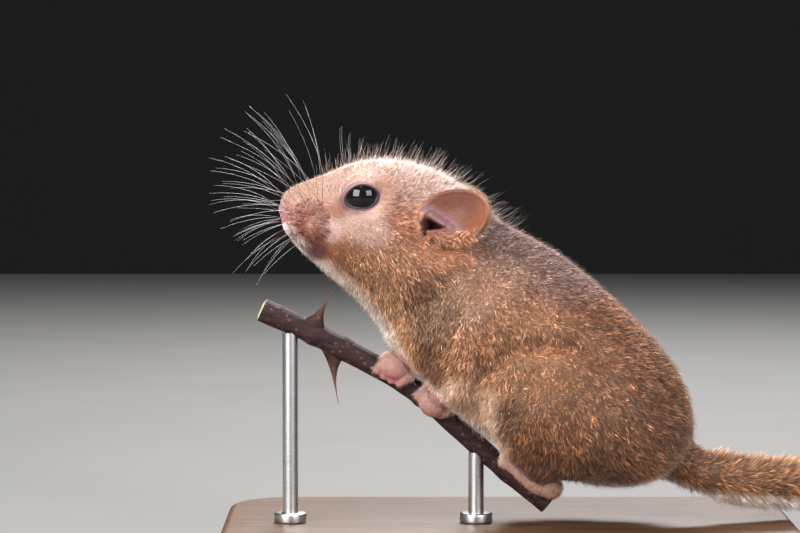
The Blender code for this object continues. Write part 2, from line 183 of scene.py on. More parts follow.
streaks = streaks_group()
walnut, tree, shader = new_finish("oiled_walnut", Specular_IOR_Level=0.4)
grain = streaked(tree, (14.0, 120.0, 120.0), 1.6)
wood_tone = ramp(tree, grain.outputs["Tone"], [(0.3, (0.045, 0.021, 0.011)), (0.5, (0.105, 0.052, 0.026)),
                                               (0.62, (0.062, 0.029, 0.015)), (0.75, (0.14, 0.075, 0.04))])
painted(tree, shader, wood_tone, grain.outputs["Lines"], 0.32, 0.56)
bumped(tree, shader, grain.outputs["Height"], 0.00006, 0.6)

CORNER_RADIUS = 9.0
EDGE_RADIUS = 1.1
UNDER_EDGE_RADIUS = 0.35
low, high = (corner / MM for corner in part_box("stand_base"))
bm = bmesh.new()
bmesh.ops.create_cube(bm, size=1.0)
bmesh.ops.scale(bm, vec=high - low, verts=bm.verts)
bmesh.ops.translate(bm, vec=(low + high) / 2, verts=bm.verts)
upright = [edge for edge in bm.edges if abs(edge.verts[0].co.z - edge.verts[1].co.z) > 1]
rounded(bm, upright, CORNER_RADIUS, 14)
upper_rim = [edge for edge in bm.edges if min(v.co.z for v in edge.verts) > high.z - 0.01]
rounded(bm, upper_rim, EDGE_RADIUS, 6)
under_rim = [edge for edge in bm.edges if max(v.co.z for v in edge.verts) < low.z + 0.01]
rounded(bm, under_rim, UNDER_EDGE_RADIUS, 2)
base = settle(bm, "stand_block", walnut, "wood", "stand_base")
base.data.set_sharp_from_angle(angle=math.radians(40))

# Two short rods of brushed steel hold the stem. Each is a plain turned pin, glued into the base through
# a small steel collar, and its top end is pressed into the underside of the stem.
steel, tree, shader = new_finish("brushed_steel", Metallic=1.0)
brushing = streaked(tree, (900.0, 900.0, 9000.0), 1.0)
sheen = ramp(tree, brushing.outputs["Tone"], [(0.3, (0.42, 0.42, 0.43)), (0.7, (0.6, 0.6, 0.61))])
painted(tree, shader, sheen, brushing.outputs["Lines"], 0.2, 0.42)
bumped(tree, shader, brushing.outputs["Height"], 0.00001, 0.5)

ROD_SIDES = 40
COLLAR_RADIUS = 2.1
COLLAR_HEIGHT = 1.3
COLLAR_SINK = 0.3
COLLAR_EDGE_RADIUS = 0.25


def upright_pin(bm, middle, radius, height):
    """A closed upright cylinder. Returns its vertices."""
    return bmesh.ops.create_cone(bm, cap_ends=True, segments=ROD_SIDES, radius1=radius, radius2=radius,
                                 depth=height, matrix=Matrix.Translation(middle))["verts"]


for node in ("stand_rod_front", "stand_rod_rear"):
    foot, top = (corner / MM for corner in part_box(node))
    middle = (foot + top) / 2
    bm = bmesh.new()
    upright_pin(bm, middle, (top.x - foot.x) / 2, top.z - foot.z)
    seat = (middle.x, middle.y, foot.z + COLLAR_HEIGHT / 2 - COLLAR_SINK)
    collar = upright_pin(bm, seat, COLLAR_RADIUS, COLLAR_HEIGHT)
    turned = {edge for vertex in collar for edge in vertex.link_edges
              if abs(edge.verts[0].co.z - edge.verts[1].co.z) < 0.01}
    rounded(bm, turned, COLLAR_EDGE_RADIUS, 3)
    rod = settle(bm, node + "_pin", steel, "steel", node)
    rod.data.set_sharp_from_angle(angle=math.radians(35))

# The perch is a cut length of living bramble stem: smooth purple-brown bark with fine lengthwise ridges
# and pale pores, hooked thorns with a wide foot grown on it, and a pale cut face at each end.
STEM_LINE = [(-31.8, 33.4), (-26.0, 30.8), (-21.2, 28.3), (-15.1, 25.0), (-10.9, 22.1),
             (-7.1, 18.7), (-1.3, 13.5), (4.9, 8.3)]
STEM_RADII = (1.5, 1.25)
STEM_STEPS = 90
STEM_SIDES = 40
KNOTS_AT = (0.17, 0.27, 0.56, 0.88)
# Each thorn's place along the stem, its lean downhill and to the camera's side, its length, and its way up.
THORNS = [(0.155, 0.1, 2.2, 6.0, 1.0), (0.25, 4.0, 0.8, 6.4, -1.0)]
THORN_STEPS = 24
THORN_SIDES = 20
# The rings that a cut end is sawn to: how much narrower each is, and how deep it lies.
CUT_RINGS = ((0.16, 0.0), (0.3, 0.1), (0.3, 0.12))


def curve_at(knots, place):
    """A smooth curve through equally spaced knots, read at a fractional knot number."""
    last = len(knots) - 1
    index = min(max(int(place), 0), last - 1)
    t = place - index
    a, b, c, d = (knots[min(max(index + k, 0), last)] for k in (-1, 0, 1, 2))
    squared = 2 * a - 5 * b + 4 * c - d
    cubed = 3 * b - a - 3 * c + d
    return 0.5 * (2 * b + (c - a) * t + squared * t * t + cubed * t**3)


def stem_point(share):
    """The stem's middle, at a share of the way down from its upper end."""
    return curve_at([Vector((x, 0.0, z)) for x, z in STEM_LINE], share * (len(STEM_LINE) - 1))


def stem_frame(share):
    """The stem's middle, its downhill direction, and the direction square to it that points up."""
    along = (stem_point(min(share + 0.01, 1.0)) - stem_point(max(share - 0.01, 0.0))).normalized()
    return stem_point(share), along, Vector((-along.z, 0.0, along.x))


def stem_radius(share):
    """The radius tapers, swells a little below each thorn and at the old leaf joints."""
    taper = STEM_RADII[0] + (STEM_RADII[1] - STEM_RADII[0]) * share
    swell = sum(0.16 * math.exp(-((share - place) / 0.018) ** 2) for place in KNOTS_AT)
    return taper + swell + 0.04 * math.sin(share * 41.0) * math.sin(share * 17.0)


def bridge(bm, rings):
    """Joins each ring of vertices to the next by a band of four-sided faces."""
    for near, far in zip(rings, rings[1:]):
        for k in range(len(near)):
            m = (k + 1) % len(near)
            bm.faces.new((near[k], near[m], far[m], far[k]))


def sweep(bm, points, radii, sides, ripple=0.0):
    """A closed tube through points: one circle for each, bridged to the next, and two caps."""
    rings = []
    for index, (point, radius) in enumerate(zip(points, radii)):
        ahead = points[min(index + 1, len(points) - 1)] - points[max(index - 1, 0)]
        place = Matrix.Translation(point) @ ahead.to_track_quat("Z", "Y").to_matrix().to_4x4()
        ring = bmesh.ops.create_circle(bm, segments=sides, radius=radius, matrix=place)["verts"]
        for k, vertex in enumerate(ring):
            vertex.co += (vertex.co - point) * ripple * math.cos(5 * 2 * math.pi * k / sides + index * 0.05)
        rings.append(ring)
    bridge(bm, rings)
    return rings, [bm.faces.new(rings[0]), bm.faces.new(rings[-1])]


def texture(tree, kind, values, **settings):
    """A pattern that lies in the object's own coordinates."""
    place = add(tree, "ShaderNodeTexCoord")
    node = add(tree, kind, values, **settings)
    tree.links.new(place.outputs["Object"], node.inputs["Vector"])
    return node


def laid_over(tree, below, colour, share):
    """One colour laid over another, as far as share says."""
    mix = add(tree, "ShaderNodeMix", {"B": (*colour, 1.0)}, data_type="RGBA")
    tree.links.new(below, mix.inputs["A"])
    tree.links.new(share, mix.inputs["Factor"])
    return mix.outputs["Result"]


def stem_bark():
    """Purple-brown bark with ridges along it and pale pores, redder thorn tips and a pale cut face."""
    finish, tree, shader = new_finish("bramble_bark", Specular_IOR_Level=0.2)
    tilt = math.atan2(STEM_LINE[0][1] - STEM_LINE[-1][1], STEM_LINE[-1][0] - STEM_LINE[0][0])
    ridges = streaked(tree, (130.0, 1500.0, 1500.0), 1.0, (0.0, -tilt, 0.0))
    colour = ramp(tree, ridges.outputs["Tone"], [(0.3, (0.008, 0.003, 0.003)), (0.5, (0.021, 0.0065, 0.007)),
                                                 (0.68, (0.034, 0.014, 0.015)), (0.8, (0.058, 0.03, 0.028))])
    pores = texture(tree, "ShaderNodeTexVoronoi", {"Scale": 1100.0, "Randomness": 1.0})
    dots = spread(tree, pores.outputs["Distance"], 0.4, 0.0, 0.1, 0.24)
    colour = laid_over(tree, colour, (0.2, 0.11, 0.085), dots)
    for part, tint in (("thorn", (0.17, 0.06, 0.035)), ("pith", (0.4, 0.36, 0.2))):
        share = add(tree, "ShaderNodeAttribute", attribute_name=part)
        colour = laid_over(tree, colour, tint, share.outputs["Fac"])
    painted(tree, shader, colour, ridges.outputs["Lines"], 0.5, 0.75)
    bumped(tree, shader, ridges.outputs["Height"], 0.00012, 0.7)
    return finish


bm = bmesh.new()
thorn_share = bm.verts.layers.float.new("thorn")
pith_share = bm.verts.layers.float.new("pith")
shares = [k / STEM_STEPS for k in range(STEM_STEPS + 1)]
_, caps = sweep(bm, [stem_point(s) for s in shares], [stem_radius(s) for s in shares], STEM_SIDES, 0.018)
for cap in caps:
    for narrower, sink in CUT_RINGS:
        bmesh.ops.inset_individual(bm, faces=[cap], thickness=narrower, depth=-sink)
        for vertex in cap.verts:
            vertex[pith_share] = 1.0
for share, lean, lean_out, reach, way in THORNS:
    root, along, up = stem_frame(share)
    points, radii = [], []
    for k in range(THORN_STEPS + 1):
        t = k / THORN_STEPS
        bend = along * lean * t * (0.6 + 0.4 * t) - Vector((0.0, lean_out * t, 0.0))
        points.append(root + up * way * reach * t + bend)
        radii.append(0.05 + 1.5 * (1 - t) ** 2.4)
    thorn_rings, _ = sweep(bm, points, radii, THORN_SIDES)
    for k, ring in enumerate(thorn_rings):
        for vertex in ring:
            middle = points[k]
            vertex.co += along * (vertex.co - middle).dot(along) * 0.9 * (1 - k / THORN_STEPS) ** 2
            vertex[thorn_share] = max(0.0, (k - 4) / 20) ** 1.5
bmesh.ops.recalc_face_normals(bm, faces=bm.faces)
stem = settle(bm, "bramble_stem", stem_bark(), "bark", "perch_stem")
stem.data.set_sharp_from_angle(angle=math.radians(50))

# The skin is one closed surface over head, neck, trunk, legs, feet, ears and tail. It is melted from the
# solids of those parts and sunk by the coat's depth. Feet, ears and muzzle are modelled to the bare skin,
# and thin lids lie round the eyes.
FLESH = ["head", "neck", "trunk", "foreleg_left", "foreleg_right", "hindleg_left", "hindleg_right",
         "tail_1", "tail_2", "tail_3"]
GAP_CLOSING = 0.22
LUMP_GRID = 0.55
LUMP_SMOOTHING = 26
SKIN_GRID = 0.18
SKIN_FACES = 188000
# -1 is the animal's left side, which faces the camera, and 1 its right. One-sided places are on the right.
SIDES = (-1, 1)
NOSE_TIP = (-29.5, 0.0, 46.2)
NOSTRIL = (-29.15, 0.8, 45.75)
PAD_MIDDLE = (-25.4, 3.0, 44.6)
EYE_CENTRE = (-18.85, 5.15, 48.25)
EYE_RADIUS = 2.6
EAR_CENTRE = (-7.2, 8.9, 45.8)
EAR_FACING = (-0.35, 0.89, 0.28)
EAR_REACH = (4.7, 3.7)
EAR_THICKNESS = 0.6
# The ear is pressed from a flat disc, with this many rings inset, each this share of its radius wide.
EAR_RINGS = 22
EAR_RING_WIDTH = 0.042
# How far the lids open to the front, to the back, and up and down.
LID_REACH = (2.06, 1.98, 1.43)
# Each forefoot's palm, and where its first finger lies on the stem.
PALMS = [((-9.9, -1.9, 21.5), -11.2), ((-14.9, -1.8, 26.3), -16.4)]
PALM_RADII = (2.0, 1.95, 1.75)
FINGER_SPACING = 0.94
FINGER_RADIUS = 0.62
# Along each finger or toe: how far along, how high it arches off the stem, and how thick it is.
DIGIT_SHAPE = ((0.0, 0.25, 1.12), (0.35, 0.4, 0.92), (0.6, 0.25, 1.02), (0.85, 0.0, 0.8), (1.0, 0.0, 0.95))
# The hind foot's sole from heel to toes, with its thickness.
HIND_FOOT = [((5.2, 6.0, 11.2), 1.35), ((3.7, 4.8, 11.6), 1.3), ((2.2, 3.5, 12.6), 1.35),
             ((0.9, 2.4, 13.6), 1.2)]
# Places on the bare feet, each with how far its foot's skin reaches.
FOOT_SPOTS = [((-10.4, -2.1, 21.1), 2.2), ((-15.3, -2.0, 25.9), 2.3)]
FOOT_SPOTS += [((x, side * y, z), 1.35) for side in SIDES
               for x, y, z in ((4.8, 5.6, 11.3), (3.6, 4.4, 11.6), (2.2, 3.2, 12.5), (1.0, 2.2, 13.2))]


def bead(bm, centre, radius, stretch=(1.0, 1.0, 1.0), lean_deg=0.0):
    """A ball, or a stretched and leaning one, that the skin is melted over."""
    lean = Matrix.Rotation(math.radians(lean_deg), 4, "Y")
    shape = Matrix.Translation(centre) @ lean @ Matrix.Diagonal((*stretch, 1.0))
    bmesh.ops.create_icosphere(bm, subdivisions=2, radius=radius, matrix=shape)


def bead_line(bm, knots, steps=8):
    """Balls along a smooth line through (point, radius) knots."""
    points = [Vector(point) for point, _ in knots]
    radii = [radius for _, radius in knots]
    for k in range(steps * (len(knots) - 1) + 1):
        bead(bm, curve_at(points, k / steps), curve_at(radii, k / steps))


def changed(mesh, **modifiers):
    """A new mesh: this one after the named kinds of modifier, each with its settings."""
    holder = bpy.data.objects.new("holder", mesh)
    bpy.context.scene.collection.objects.link(holder)
    for kind, settings in modifiers.items():
        modifier = holder.modifiers.new(kind, kind)
        for setting, value in settings.items():
            setattr(modifier, setting, value)
    bpy.context.view_layer.update()
    done = bpy.data.meshes.new_from_object(holder.evaluated_get(bpy.context.evaluated_depsgraph_get()))
    bpy.data.objects.remove(holder)
    return done


def melted(bm, grid, rounds):
    """The mesh, in metres, of one closed surface round all that a bmesh in millimetres holds."""
    bmesh.ops.scale(bm, vec=(MM, MM, MM), verts=bm.verts)
    mesh = bpy.data.meshes.new("lump")
    bm.to_mesh(mesh)
    bm.free()
    return changed(mesh, REMESH={"mode": "VOXEL", "voxel_size": grid * MM}, SMOOTH={"iterations": rounds})


def read_rows(collection, field, width=3):
    """One field of a mesh's vertices or corners, a row for each."""
    flat = np.empty(len(collection) * width, np.float32)
    collection.foreach_get(field, flat)
    return flat.reshape(-1, width).astype(np.float64)


def place_points(mesh, points):
    """Moves a mesh's vertices to points given in millimetres."""
    mesh.vertices.foreach_set("co", (points * MM).astype(np.float32).ravel())
    mesh.update()


def away(points, spot):
    """How far points are from one spot."""
    return np.linalg.norm(points - np.array(spot), axis=1)


def folded(points):
    """Points brought over to the side where y is above 0, for shapes that both sides share."""
    return points * (1, 0, 1) + np.abs(points) * (0, 1, 0)


def sided(points, ways):
    """Directions given for the right side, turned for the side that each point is on, or back again."""
    return ways * np.where(points[:, 1:2] < 0, np.array((1, -1, 1)), np.array((1, 1, 1)))


def ease(values, low, high):
    """0 below low, 1 above high, and smooth between."""
    t = np.clip((values - low) / (high - low), 0.0, 1.0)
    return t * t * (3 - 2 * t)


def unit(rows):
    """Directions made one long."""
    return rows / np.maximum(np.linalg.norm(rows, axis=-1, keepdims=True), 1e-9)


def foot_edge(points):
    """How far points are outside the bare feet."""
    return np.min([away(points, spot) - reach for spot, reach in FOOT_SPOTS], axis=0)


def coat_depth(points):
    """How thick the lying coat is, in millimetres: thin on the face, thinnest by nose, eyes and feet."""
    depth = np.interp(away(points, NOSE_TIP), [0.0, 4.0, 8.0, 14.0, 20.0, 27.0, 34.0],
                      [0.08, 0.14, 0.3, 0.5, 0.85, 1.3, 1.6])
    on_tail = np.interp(points[:, 0], [24.0, 60.0, 71.0], [1.6, 1.45, 0.5])
    depth = np.where(points[:, 0] > 24.0, on_tail, depth)
    depth = np.minimum(depth, np.interp(foot_edge(points), [0.0, 1.5, 6.0], [0.1, 0.4, 1.6]))
    return np.minimum(depth, np.interp(away(folded(points), EYE_CENTRE), [2.9, 4.8], [0.02, 0.7]))


def ear_ways():
    """The right ear's own directions: backward, upward, and out of its opening."""
    out = unit(np.array(EAR_FACING))
    back = unit(np.array((1.0, 0.0, 0.0)) - out * out[0])
    up = unit(np.cross(back, out))
    return back, up * np.sign(up[2]), out


def ear_place(points):
    """Places as seen looking into the ear: backward, upward, and out of the ear."""
    local = folded(points) - np.array(EAR_CENTRE)
    return tuple(local @ way for way in ear_ways())


def ear_rim(u, v):
    """How near a place is to the ear's rim: 0 at its middle, 1 at the rim."""
    return np.hypot(u / EAR_REACH[0], v / EAR_REACH[1])


def ear_pit(u, v):
    """How near a place in the ear is to the canal, a rounded triangle: 0 at its middle, 1 at its edge."""
    edges = [(0.63, 0.78, 0.92), (0.13, -0.99, 0.85), (-0.89, 0.45, 1.15)]
    return sum(np.maximum(((u + 3.35) * way_u + (v + 1.0) * way_v) / reach, 0.0) ** 3
               for way_u, way_v, reach in edges) ** (1 / 3)


def ear_dish():
    """The right ear: a thin round dish with a canal, a soft ridge round it and a rolled rim."""
    bm = bmesh.new()
    bmesh.ops.create_circle(bm, cap_ends=True, segments=72, radius=1.0)
    face = bm.faces[:][0]
    for _ in range(EAR_RINGS):
        bmesh.ops.inset_individual(bm, faces=[face], thickness=EAR_RING_WIDTH, depth=0.0)
    bmesh.ops.poke(bm, faces=[face])
    back_way, up_way, out_way = ear_ways()
    for vertex in bm.verts:
        u, v = vertex.co.x, vertex.co.y
        out = math.hypot(u, v)
        u = u * (1 + 0.06 * v)
        pit = float(ear_pit(u * EAR_REACH[0], v * EAR_REACH[1]))
        depth = 1.5 * (1 - out * out) + 1.6 * math.exp(-pit**4) - 0.6 * math.exp(-((pit - 1.3) / 0.3) ** 2)
        depth += 0.16 * math.exp(-((out - 0.9) / 0.07) ** 2) - 0.35 * max(0.0, -u) * out
        vertex.co = Vector(back_way * u * EAR_REACH[0] + up_way * v * EAR_REACH[1] - out_way * depth)
    bmesh.ops.translate(bm, vec=EAR_CENTRE, verts=bm.verts)
    bmesh.ops.recalc_face_normals(bm, faces=bm.faces)
    bmesh.ops.solidify(bm, geom=bm.faces[:], thickness=EAR_THICKNESS)
    return bm


def digit(bm, share, side, first_deg, last_deg, slant, root, thick=1.0):
    """A finger or toe from the foot round the stem. Returns its end and the way that it points."""
    middle, along, up = stem_frame(share)
    out = Vector((0.0, float(side), 0.0))
    knots = [(Vector(root), FINGER_RADIUS * 1.25 * thick)]
    for t, lift, radius in DIGIT_SHAPE:
        angle = math.radians(first_deg + (last_deg - first_deg) * t)
        reach = stem_radius(share) + FINGER_RADIUS * 0.8 + lift
        knots.append((middle + (out * math.cos(angle) + up * math.sin(angle)) * reach + along * slant * t,
                      FINGER_RADIUS * radius * thick))
    bead_line(bm, knots, 6)
    return knots[-1][0], (knots[-1][0] - knots[-2][0]).normalized()


def stem_share_at(x):
    """The place along the stem that lies at x."""
    shares = np.linspace(0.0, 1.0, 400)
    return float(np.interp(x, [stem_point(share).x for share in shares], shares))


bm = bmesh.new()
for node in FLESH:
    part = bmesh.new()
    part.from_mesh(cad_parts[node].data)
    bmesh.ops.scale(part, vec=(1 / MM, 1 / MM, 1 / MM), verts=part.verts)
    bmesh.ops.remove_doubles(part, verts=part.verts, dist=0.003)
    part.normal_update()
    for vertex, push in [(vertex, vertex.normal * GAP_CLOSING) for vertex in part.verts]:
        vertex.co += push
    grown = bpy.data.meshes.new("grown")
    part.to_mesh(grown)
    part.free()
    bm.from_mesh(grown)
for side in SIDES:
    bead(bm, (EYE_CENTRE[0], side * (EYE_CENTRE[1] - 0.25), EYE_CENTRE[2]), EYE_RADIUS + 0.1)
body = melted(bm, LUMP_GRID, LUMP_SMOOTHING)


def oval(points, centre, reach, lean_deg):
    """Places seen from the side on a leaning oval: 0 at its middle, 1 at its edge."""
    c, s = math.cos(math.radians(lean_deg)), math.sin(math.radians(lean_deg))
    dx, dz = points[:, 0] - centre[0], points[:, 2] - centre[1]
    return np.hypot((dx * c - dz * s) / reach[0], (dx * s + dz * c) / reach[1])


def side_distance(points, line):
    """How far points are, seen from the side, from a bent line of (x, z) knots."""
    flat = points[:, [0, 2]]
    best = np.full(len(points), 1e9)
    for start, end in zip(np.array(line)[:-1], np.array(line)[1:]):
        run = end - start
        t = np.clip((flat - start) @ run / (run @ run), 0.0, 1.0)
        best = np.minimum(best, np.linalg.norm(flat - start - t[:, None] * run, axis=1))
    return best


def body_relief(points):
    """The folds that the pose makes: round the thigh, behind the shoulder, and between head and neck."""
    near = folded(points)
    on_side = ease(near[:, 1], 3.0, 6.0)
    thigh = oval(near, (7.0, 20.2), (11.4, 8.9), 14.0)
    shoulder = oval(near, (-3.6, 30.0), (7.2, 9.4), 16.0)
    ahead = 1 - ease(near[:, 0], 8.0, 16.0)
    relief = 0.5 * (1 - ease(thigh, 0.4, 1.0)) - 0.95 * np.exp(-((thigh - 1.08) / 0.13) ** 2) * ahead
    relief += 0.3 * (1 - ease(shoulder, 0.4, 1.0)) - 0.3 * np.exp(-((shoulder - 1.1) / 0.14) ** 2)
    neck = side_distance(near, [(-15.0, 32.0), (-10.5, 34.8), (-6.0, 38.6), (-2.5, 43.5)])
    return (relief - 0.6 * np.exp(-(neck / 1.9) ** 2)) * on_side


points = read_rows(body.vertices, "co") / MM
shift = body_relief(points) - coat_depth(points) - 0.08
place_points(body, points + read_rows(body.vertices, "normal") * shift[:, None])

bm = bmesh.new()
claw_roots = []
for palm, first_x in PALMS:
    wrist = Vector(palm) + Vector((1.5, 0.9, 0.9))
    bead(bm, palm, 1.0, PALM_RADII, 40)
    bead_line(bm, [(palm, 1.4), (wrist, 1.35), (wrist + Vector((1.6, 1.6, 0.6)), 1.5)], 4)
    for i in range(4):
        root = Vector(palm) + Vector((-0.8 + 0.45 * i, -0.3, -0.2))
        share = stem_share_at(first_x + i * FINGER_SPACING)
        claw_roots.append(digit(bm, share, -1, 40, -16 + 6 * abs(i - 1.5), -0.5, root))
# On each side the hind foot with its toes, and the muzzle's pads, and between the pads the nose.
for side in SIDES:
    bead_line(bm, [(Vector((x, side * y, z)), radius) for (x, y, z), radius in HIND_FOOT])
    for i in range(5):
        share = stem_share_at(-1.2 + i * 0.95 + (0.4 if side > 0 else 0.0))
        root = (1.2 + 0.22 * i, side * 2.5, 13.1 - 0.2 * i)
        claw_roots.append(digit(bm, share, side, 20, 66, -0.6, root, 0.95))
    bead(bm, (-27.1, side * 2.2, 44.7), 1.85, (1.0, 0.95, 1.0))
    bead(bm, (-24.6, side * 3.3, 44.4), 2.25)
bead(bm, (-29.0, 0.0, 46.3), 0.95, (0.75, 1.1, 0.95))
ear = ear_dish()
ear_mesh = bpy.data.meshes.new("ear")
ear.to_mesh(ear_mesh)
bm.from_mesh(ear_mesh)
bmesh.ops.mirror(ear, geom=ear.verts[:] + ear.edges[:] + ear.faces[:], merge_dist=0.0, axis="Y")
right_ear = [vertex for vertex in ear.verts if vertex.co.y > 0]
bmesh.ops.delete(ear, geom=right_ear, context="VERTS")
bmesh.ops.recalc_face_normals(ear, faces=ear.faces)
ear.to_mesh(ear_mesh)
ear.free()
bm.from_mesh(ear_mesh)
bmesh.ops.scale(bm, vec=(MM, MM, MM), verts=bm.verts)
bm.from_mesh(body)
bmesh.ops.scale(bm, vec=(1 / MM, 1 / MM, 1 / MM), verts=bm.verts)
lump = melted(bm, SKIN_GRID, 4)
points = read_rows(lump.vertices, "co") / MM
normals = read_rows(lump.vertices, "normal")
near = folded(points)


def almond(points):
    """Places round the eye: 0 at its middle, 1 at the lids' edge, which is pointed in front."""
    u = points[:, 0] - EYE_CENTRE[0]
    v = points[:, 2] - EYE_CENTRE[2]
    reach = np.where(u < 0, LID_REACH[0], LID_REACH[1])
    droop = np.where(u < 0, -0.085 * u * u, 0.0)
    return np.hypot(u / reach, (v - droop) / LID_REACH[2])


MOUTH = np.array([(-28.7, 0.0, 43.0), (-27.2, 1.6, 42.2), (-25.6, 2.5, 41.6), (-24.0, 3.1, 41.0)])
mouth_line = np.array([curve_at(MOUTH, t) for t in np.linspace(0, 3, 40)])


def mouth_distance(near):
    """How far points are from the line where the lips meet."""
    return np.min([away(near, spot) for spot in mouth_line], axis=0)


# The skin is laid on the eyeball round the lids' opening and sunk behind the ball inside it.
opening = almond(near)
outward = near - np.array(EYE_CENTRE)
from_eye = np.linalg.norm(outward, axis=1)
by_eye = (from_eye < 5.5) & (outward[:, 1] > -0.5)
lid_share = (1 - ease(opening, 1.25, 2.1)) * by_eye
natural = np.where(by_eye, np.maximum(from_eye, EYE_RADIUS + 0.03), from_eye)
radius = natural + (EYE_RADIUS + 0.2 - natural) * lid_share
in_eye = (1 - ease(opening, 0.95, 1.1)) * by_eye
radius = radius + (EYE_RADIUS - 0.75 - radius) * in_eye
push = unit(outward) * (radius - from_eye)[:, None]
# Then the nostrils, the cleft under the nose, the mouth, the ears' canals and faint wrinkles on the nose.
nostril = np.exp(-(away(near, NOSTRIL) / 0.42) ** 4)
push += np.array((0.6, -0.75, 0.1)) * nostril[:, None] * 0.55
cleft = np.exp(-(near[:, 1] / 0.2) ** 2) * np.exp(-(away(near, (-29.0, 0.0, 44.4)) / 1.5) ** 4)
push += np.array((0.95, 0.0, 0.3)) * cleft[:, None] * 0.3
push -= normals * (1, 0, 1) * np.exp(-(mouth_distance(near) / 0.28) ** 2)[:, None] * 0.42
u, v, w = ear_place(points)
canal = np.exp(-ear_pit(u, v) ** 4) * (np.abs(w + 2.2) < 2.3)
push -= unit(np.array(EAR_FACING)) * canal[:, None] * 2.0
wrinkle = np.sin(near[:, 0] * 7.0 + 2.5 * near[:, 2]) * ease(-away(near, (-25.5, 2.0, 49.0)), -3.0, -1.0)
push += normals * wrinkle[:, None] * 0.02
place_points(lump, points + sided(points, push))
skin_mesh = changed(lump, DECIMATE={"ratio": SKIN_FACES / (2 * len(lump.polygons))})


def linear(red, green, blue):
    """A colour as seen on screen, 0 to 255, as the renderer's linear light."""
    return tuple(((c / 255 + 0.055) / 1.055) ** 2.4 for c in (red, green, blue))


# Each named colour of the coat, with the places (x, z, reach in mm) on the side of the body where it lies.
COAT_COLOURS = {
    "pale peach crown": (linear(214, 188, 180), [(-14.0, 52.0, 5.0), (-9.0, 50.5, 4.0),
                                                 (-18.0, 52.5, 3.0)]),
    "peach forehead": (linear(190, 160, 150), [(-22.0, 50.5, 2.8)]),
    "peach bridge": (linear(176, 146, 128), [(-27.0, 48.7, 1.9), (-24.5, 48.6, 1.7)]),
    "pale cheek": (linear(202, 174, 164), [(-19.0, 44.6, 2.2), (-17.0, 43.7, 1.8)]),
    "tan temple": (linear(176, 134, 112), [(-14.8, 48.4, 1.8), (-13.0, 47.8, 1.6)]),
    "orange before the ear": (linear(182, 112, 72), [(-13.2, 44.8, 2.4), (-14.2, 46.6, 1.5),
                                                     (-16.2, 49.4, 1.3)]),
    "orange by the eye": (linear(152, 90, 60), [(-22.2, 46.4, 1.0)]),
    "peach under the ear": (linear(220, 158, 120), [(-9.4, 42.3, 2.2), (-7.4, 41.3, 2.0)]),
    "brown jaw": (linear(188, 138, 102), [(-16.5, 39.8, 3.6), (-12.0, 37.3, 3.4)]),
    "brown chin": (linear(158, 104, 66), [(-21.2, 41.0, 2.2)]),
    "grey-brown shoulder": (linear(152, 114, 90), [(-9.8, 33.6, 3.4), (-11.0, 35.6, 2.0)]),
    "tan chest": (linear(206, 160, 118), [(-16.0, 33.4, 2.4), (-13.8, 30.6, 2.0), (-12.9, 28.2, 1.2)]),
    "dark chest": (linear(150, 102, 64), [(-10.6, 28.6, 1.6), (-10.4, 25.6, 1.6)]),
    "tan side": (linear(188, 136, 98), [(-5.6, 28.6, 2.8), (4.0, 28.0, 4.0), (1.5, 33.0, 4.0)]),
    "pale shoulder": (linear(190, 150, 124), [(-5.4, 36.4, 3.0), (-1.0, 38.0, 2.6)]),
    "brown flank": (linear(166, 114, 80), [(9.0, 32.0, 4.0), (13.0, 27.0, 4.5)]),
    # The rump is brown, and is made darker than the flank as painted shadow.
    "brown rump in painted shade": (linear(144, 94, 62), [(19.0, 22.0, 4.5), (22.0, 17.0, 3.0)]),
    "brown haunch": (linear(162, 112, 74), [(6.4, 23.0, 5.0), (11.0, 19.0, 4.0), (40.0, 12.0, 20.0)]),
    "dark haunch": (linear(150, 98, 60), [(2.6, 17.8, 3.2), (9.0, 15.5, 4.0)]),
    "grey back": (linear(152, 120, 112), [(4.5, 38.5, 3.2), (0.0, 41.5, 3.0), (9.0, 36.5, 2.2)]),
    "pale knee": (linear(240, 204, 176), [(-6.6, 23.4, 1.6), (-3.8, 20.6, 2.3), (-2.4, 17.0, 1.8)]),
    # Painted shade: the crease between the thigh and the flank is darkened in the coat's colour.
    "painted shade behind the knee": (linear(110, 74, 48), [(-0.6, 21.0, 1.5), (-0.8, 18.8, 1.0)]),
}
CREAM = linear(232, 220, 212)
LIP_WHITE = linear(255, 246, 246)
PALE_SPOT = linear(199, 173, 169)
MUZZLE_PINK = linear(173, 108, 112)
PAD_BROWN = linear(160, 106, 92)
NOSE_LILAC = linear(162, 138, 166)
# The lips' dark maroon skin, used also as painted shade under the upper lip and in the line where the lips
# meet.
MOUTH_MAROON_AND_SHADE = linear(98, 48, 54)
FOOT_TAN = linear(206, 160, 138)
# The line under the chin, throat, chest, belly and tail, seen from the side, along which the coat is cream.
UNDERSIDE = [(-28.9, 43.6), (-26.5, 41.3), (-22.9, 37.6), (-20.6, 35.6), (-17.9, 32.6), (-16.0, 30.1),
             (-14.0, 26.4), (-10.7, 23.1), (-7.0, 19.8), (-2.4, 16.4), (1.2, 14.7), (6.4, 12.1),
             (11.5, 10.6), (17.0, 11.0), (24.0, 9.5), (45.0, 7.6), (64.0, 12.0)]


def tinted(colours, tint, share):
    """Colours blended toward one tint, as far as each one's share."""
    return colours + (np.array(tint) - colours) * np.clip(share, 0.0, 1.0)[:, None]


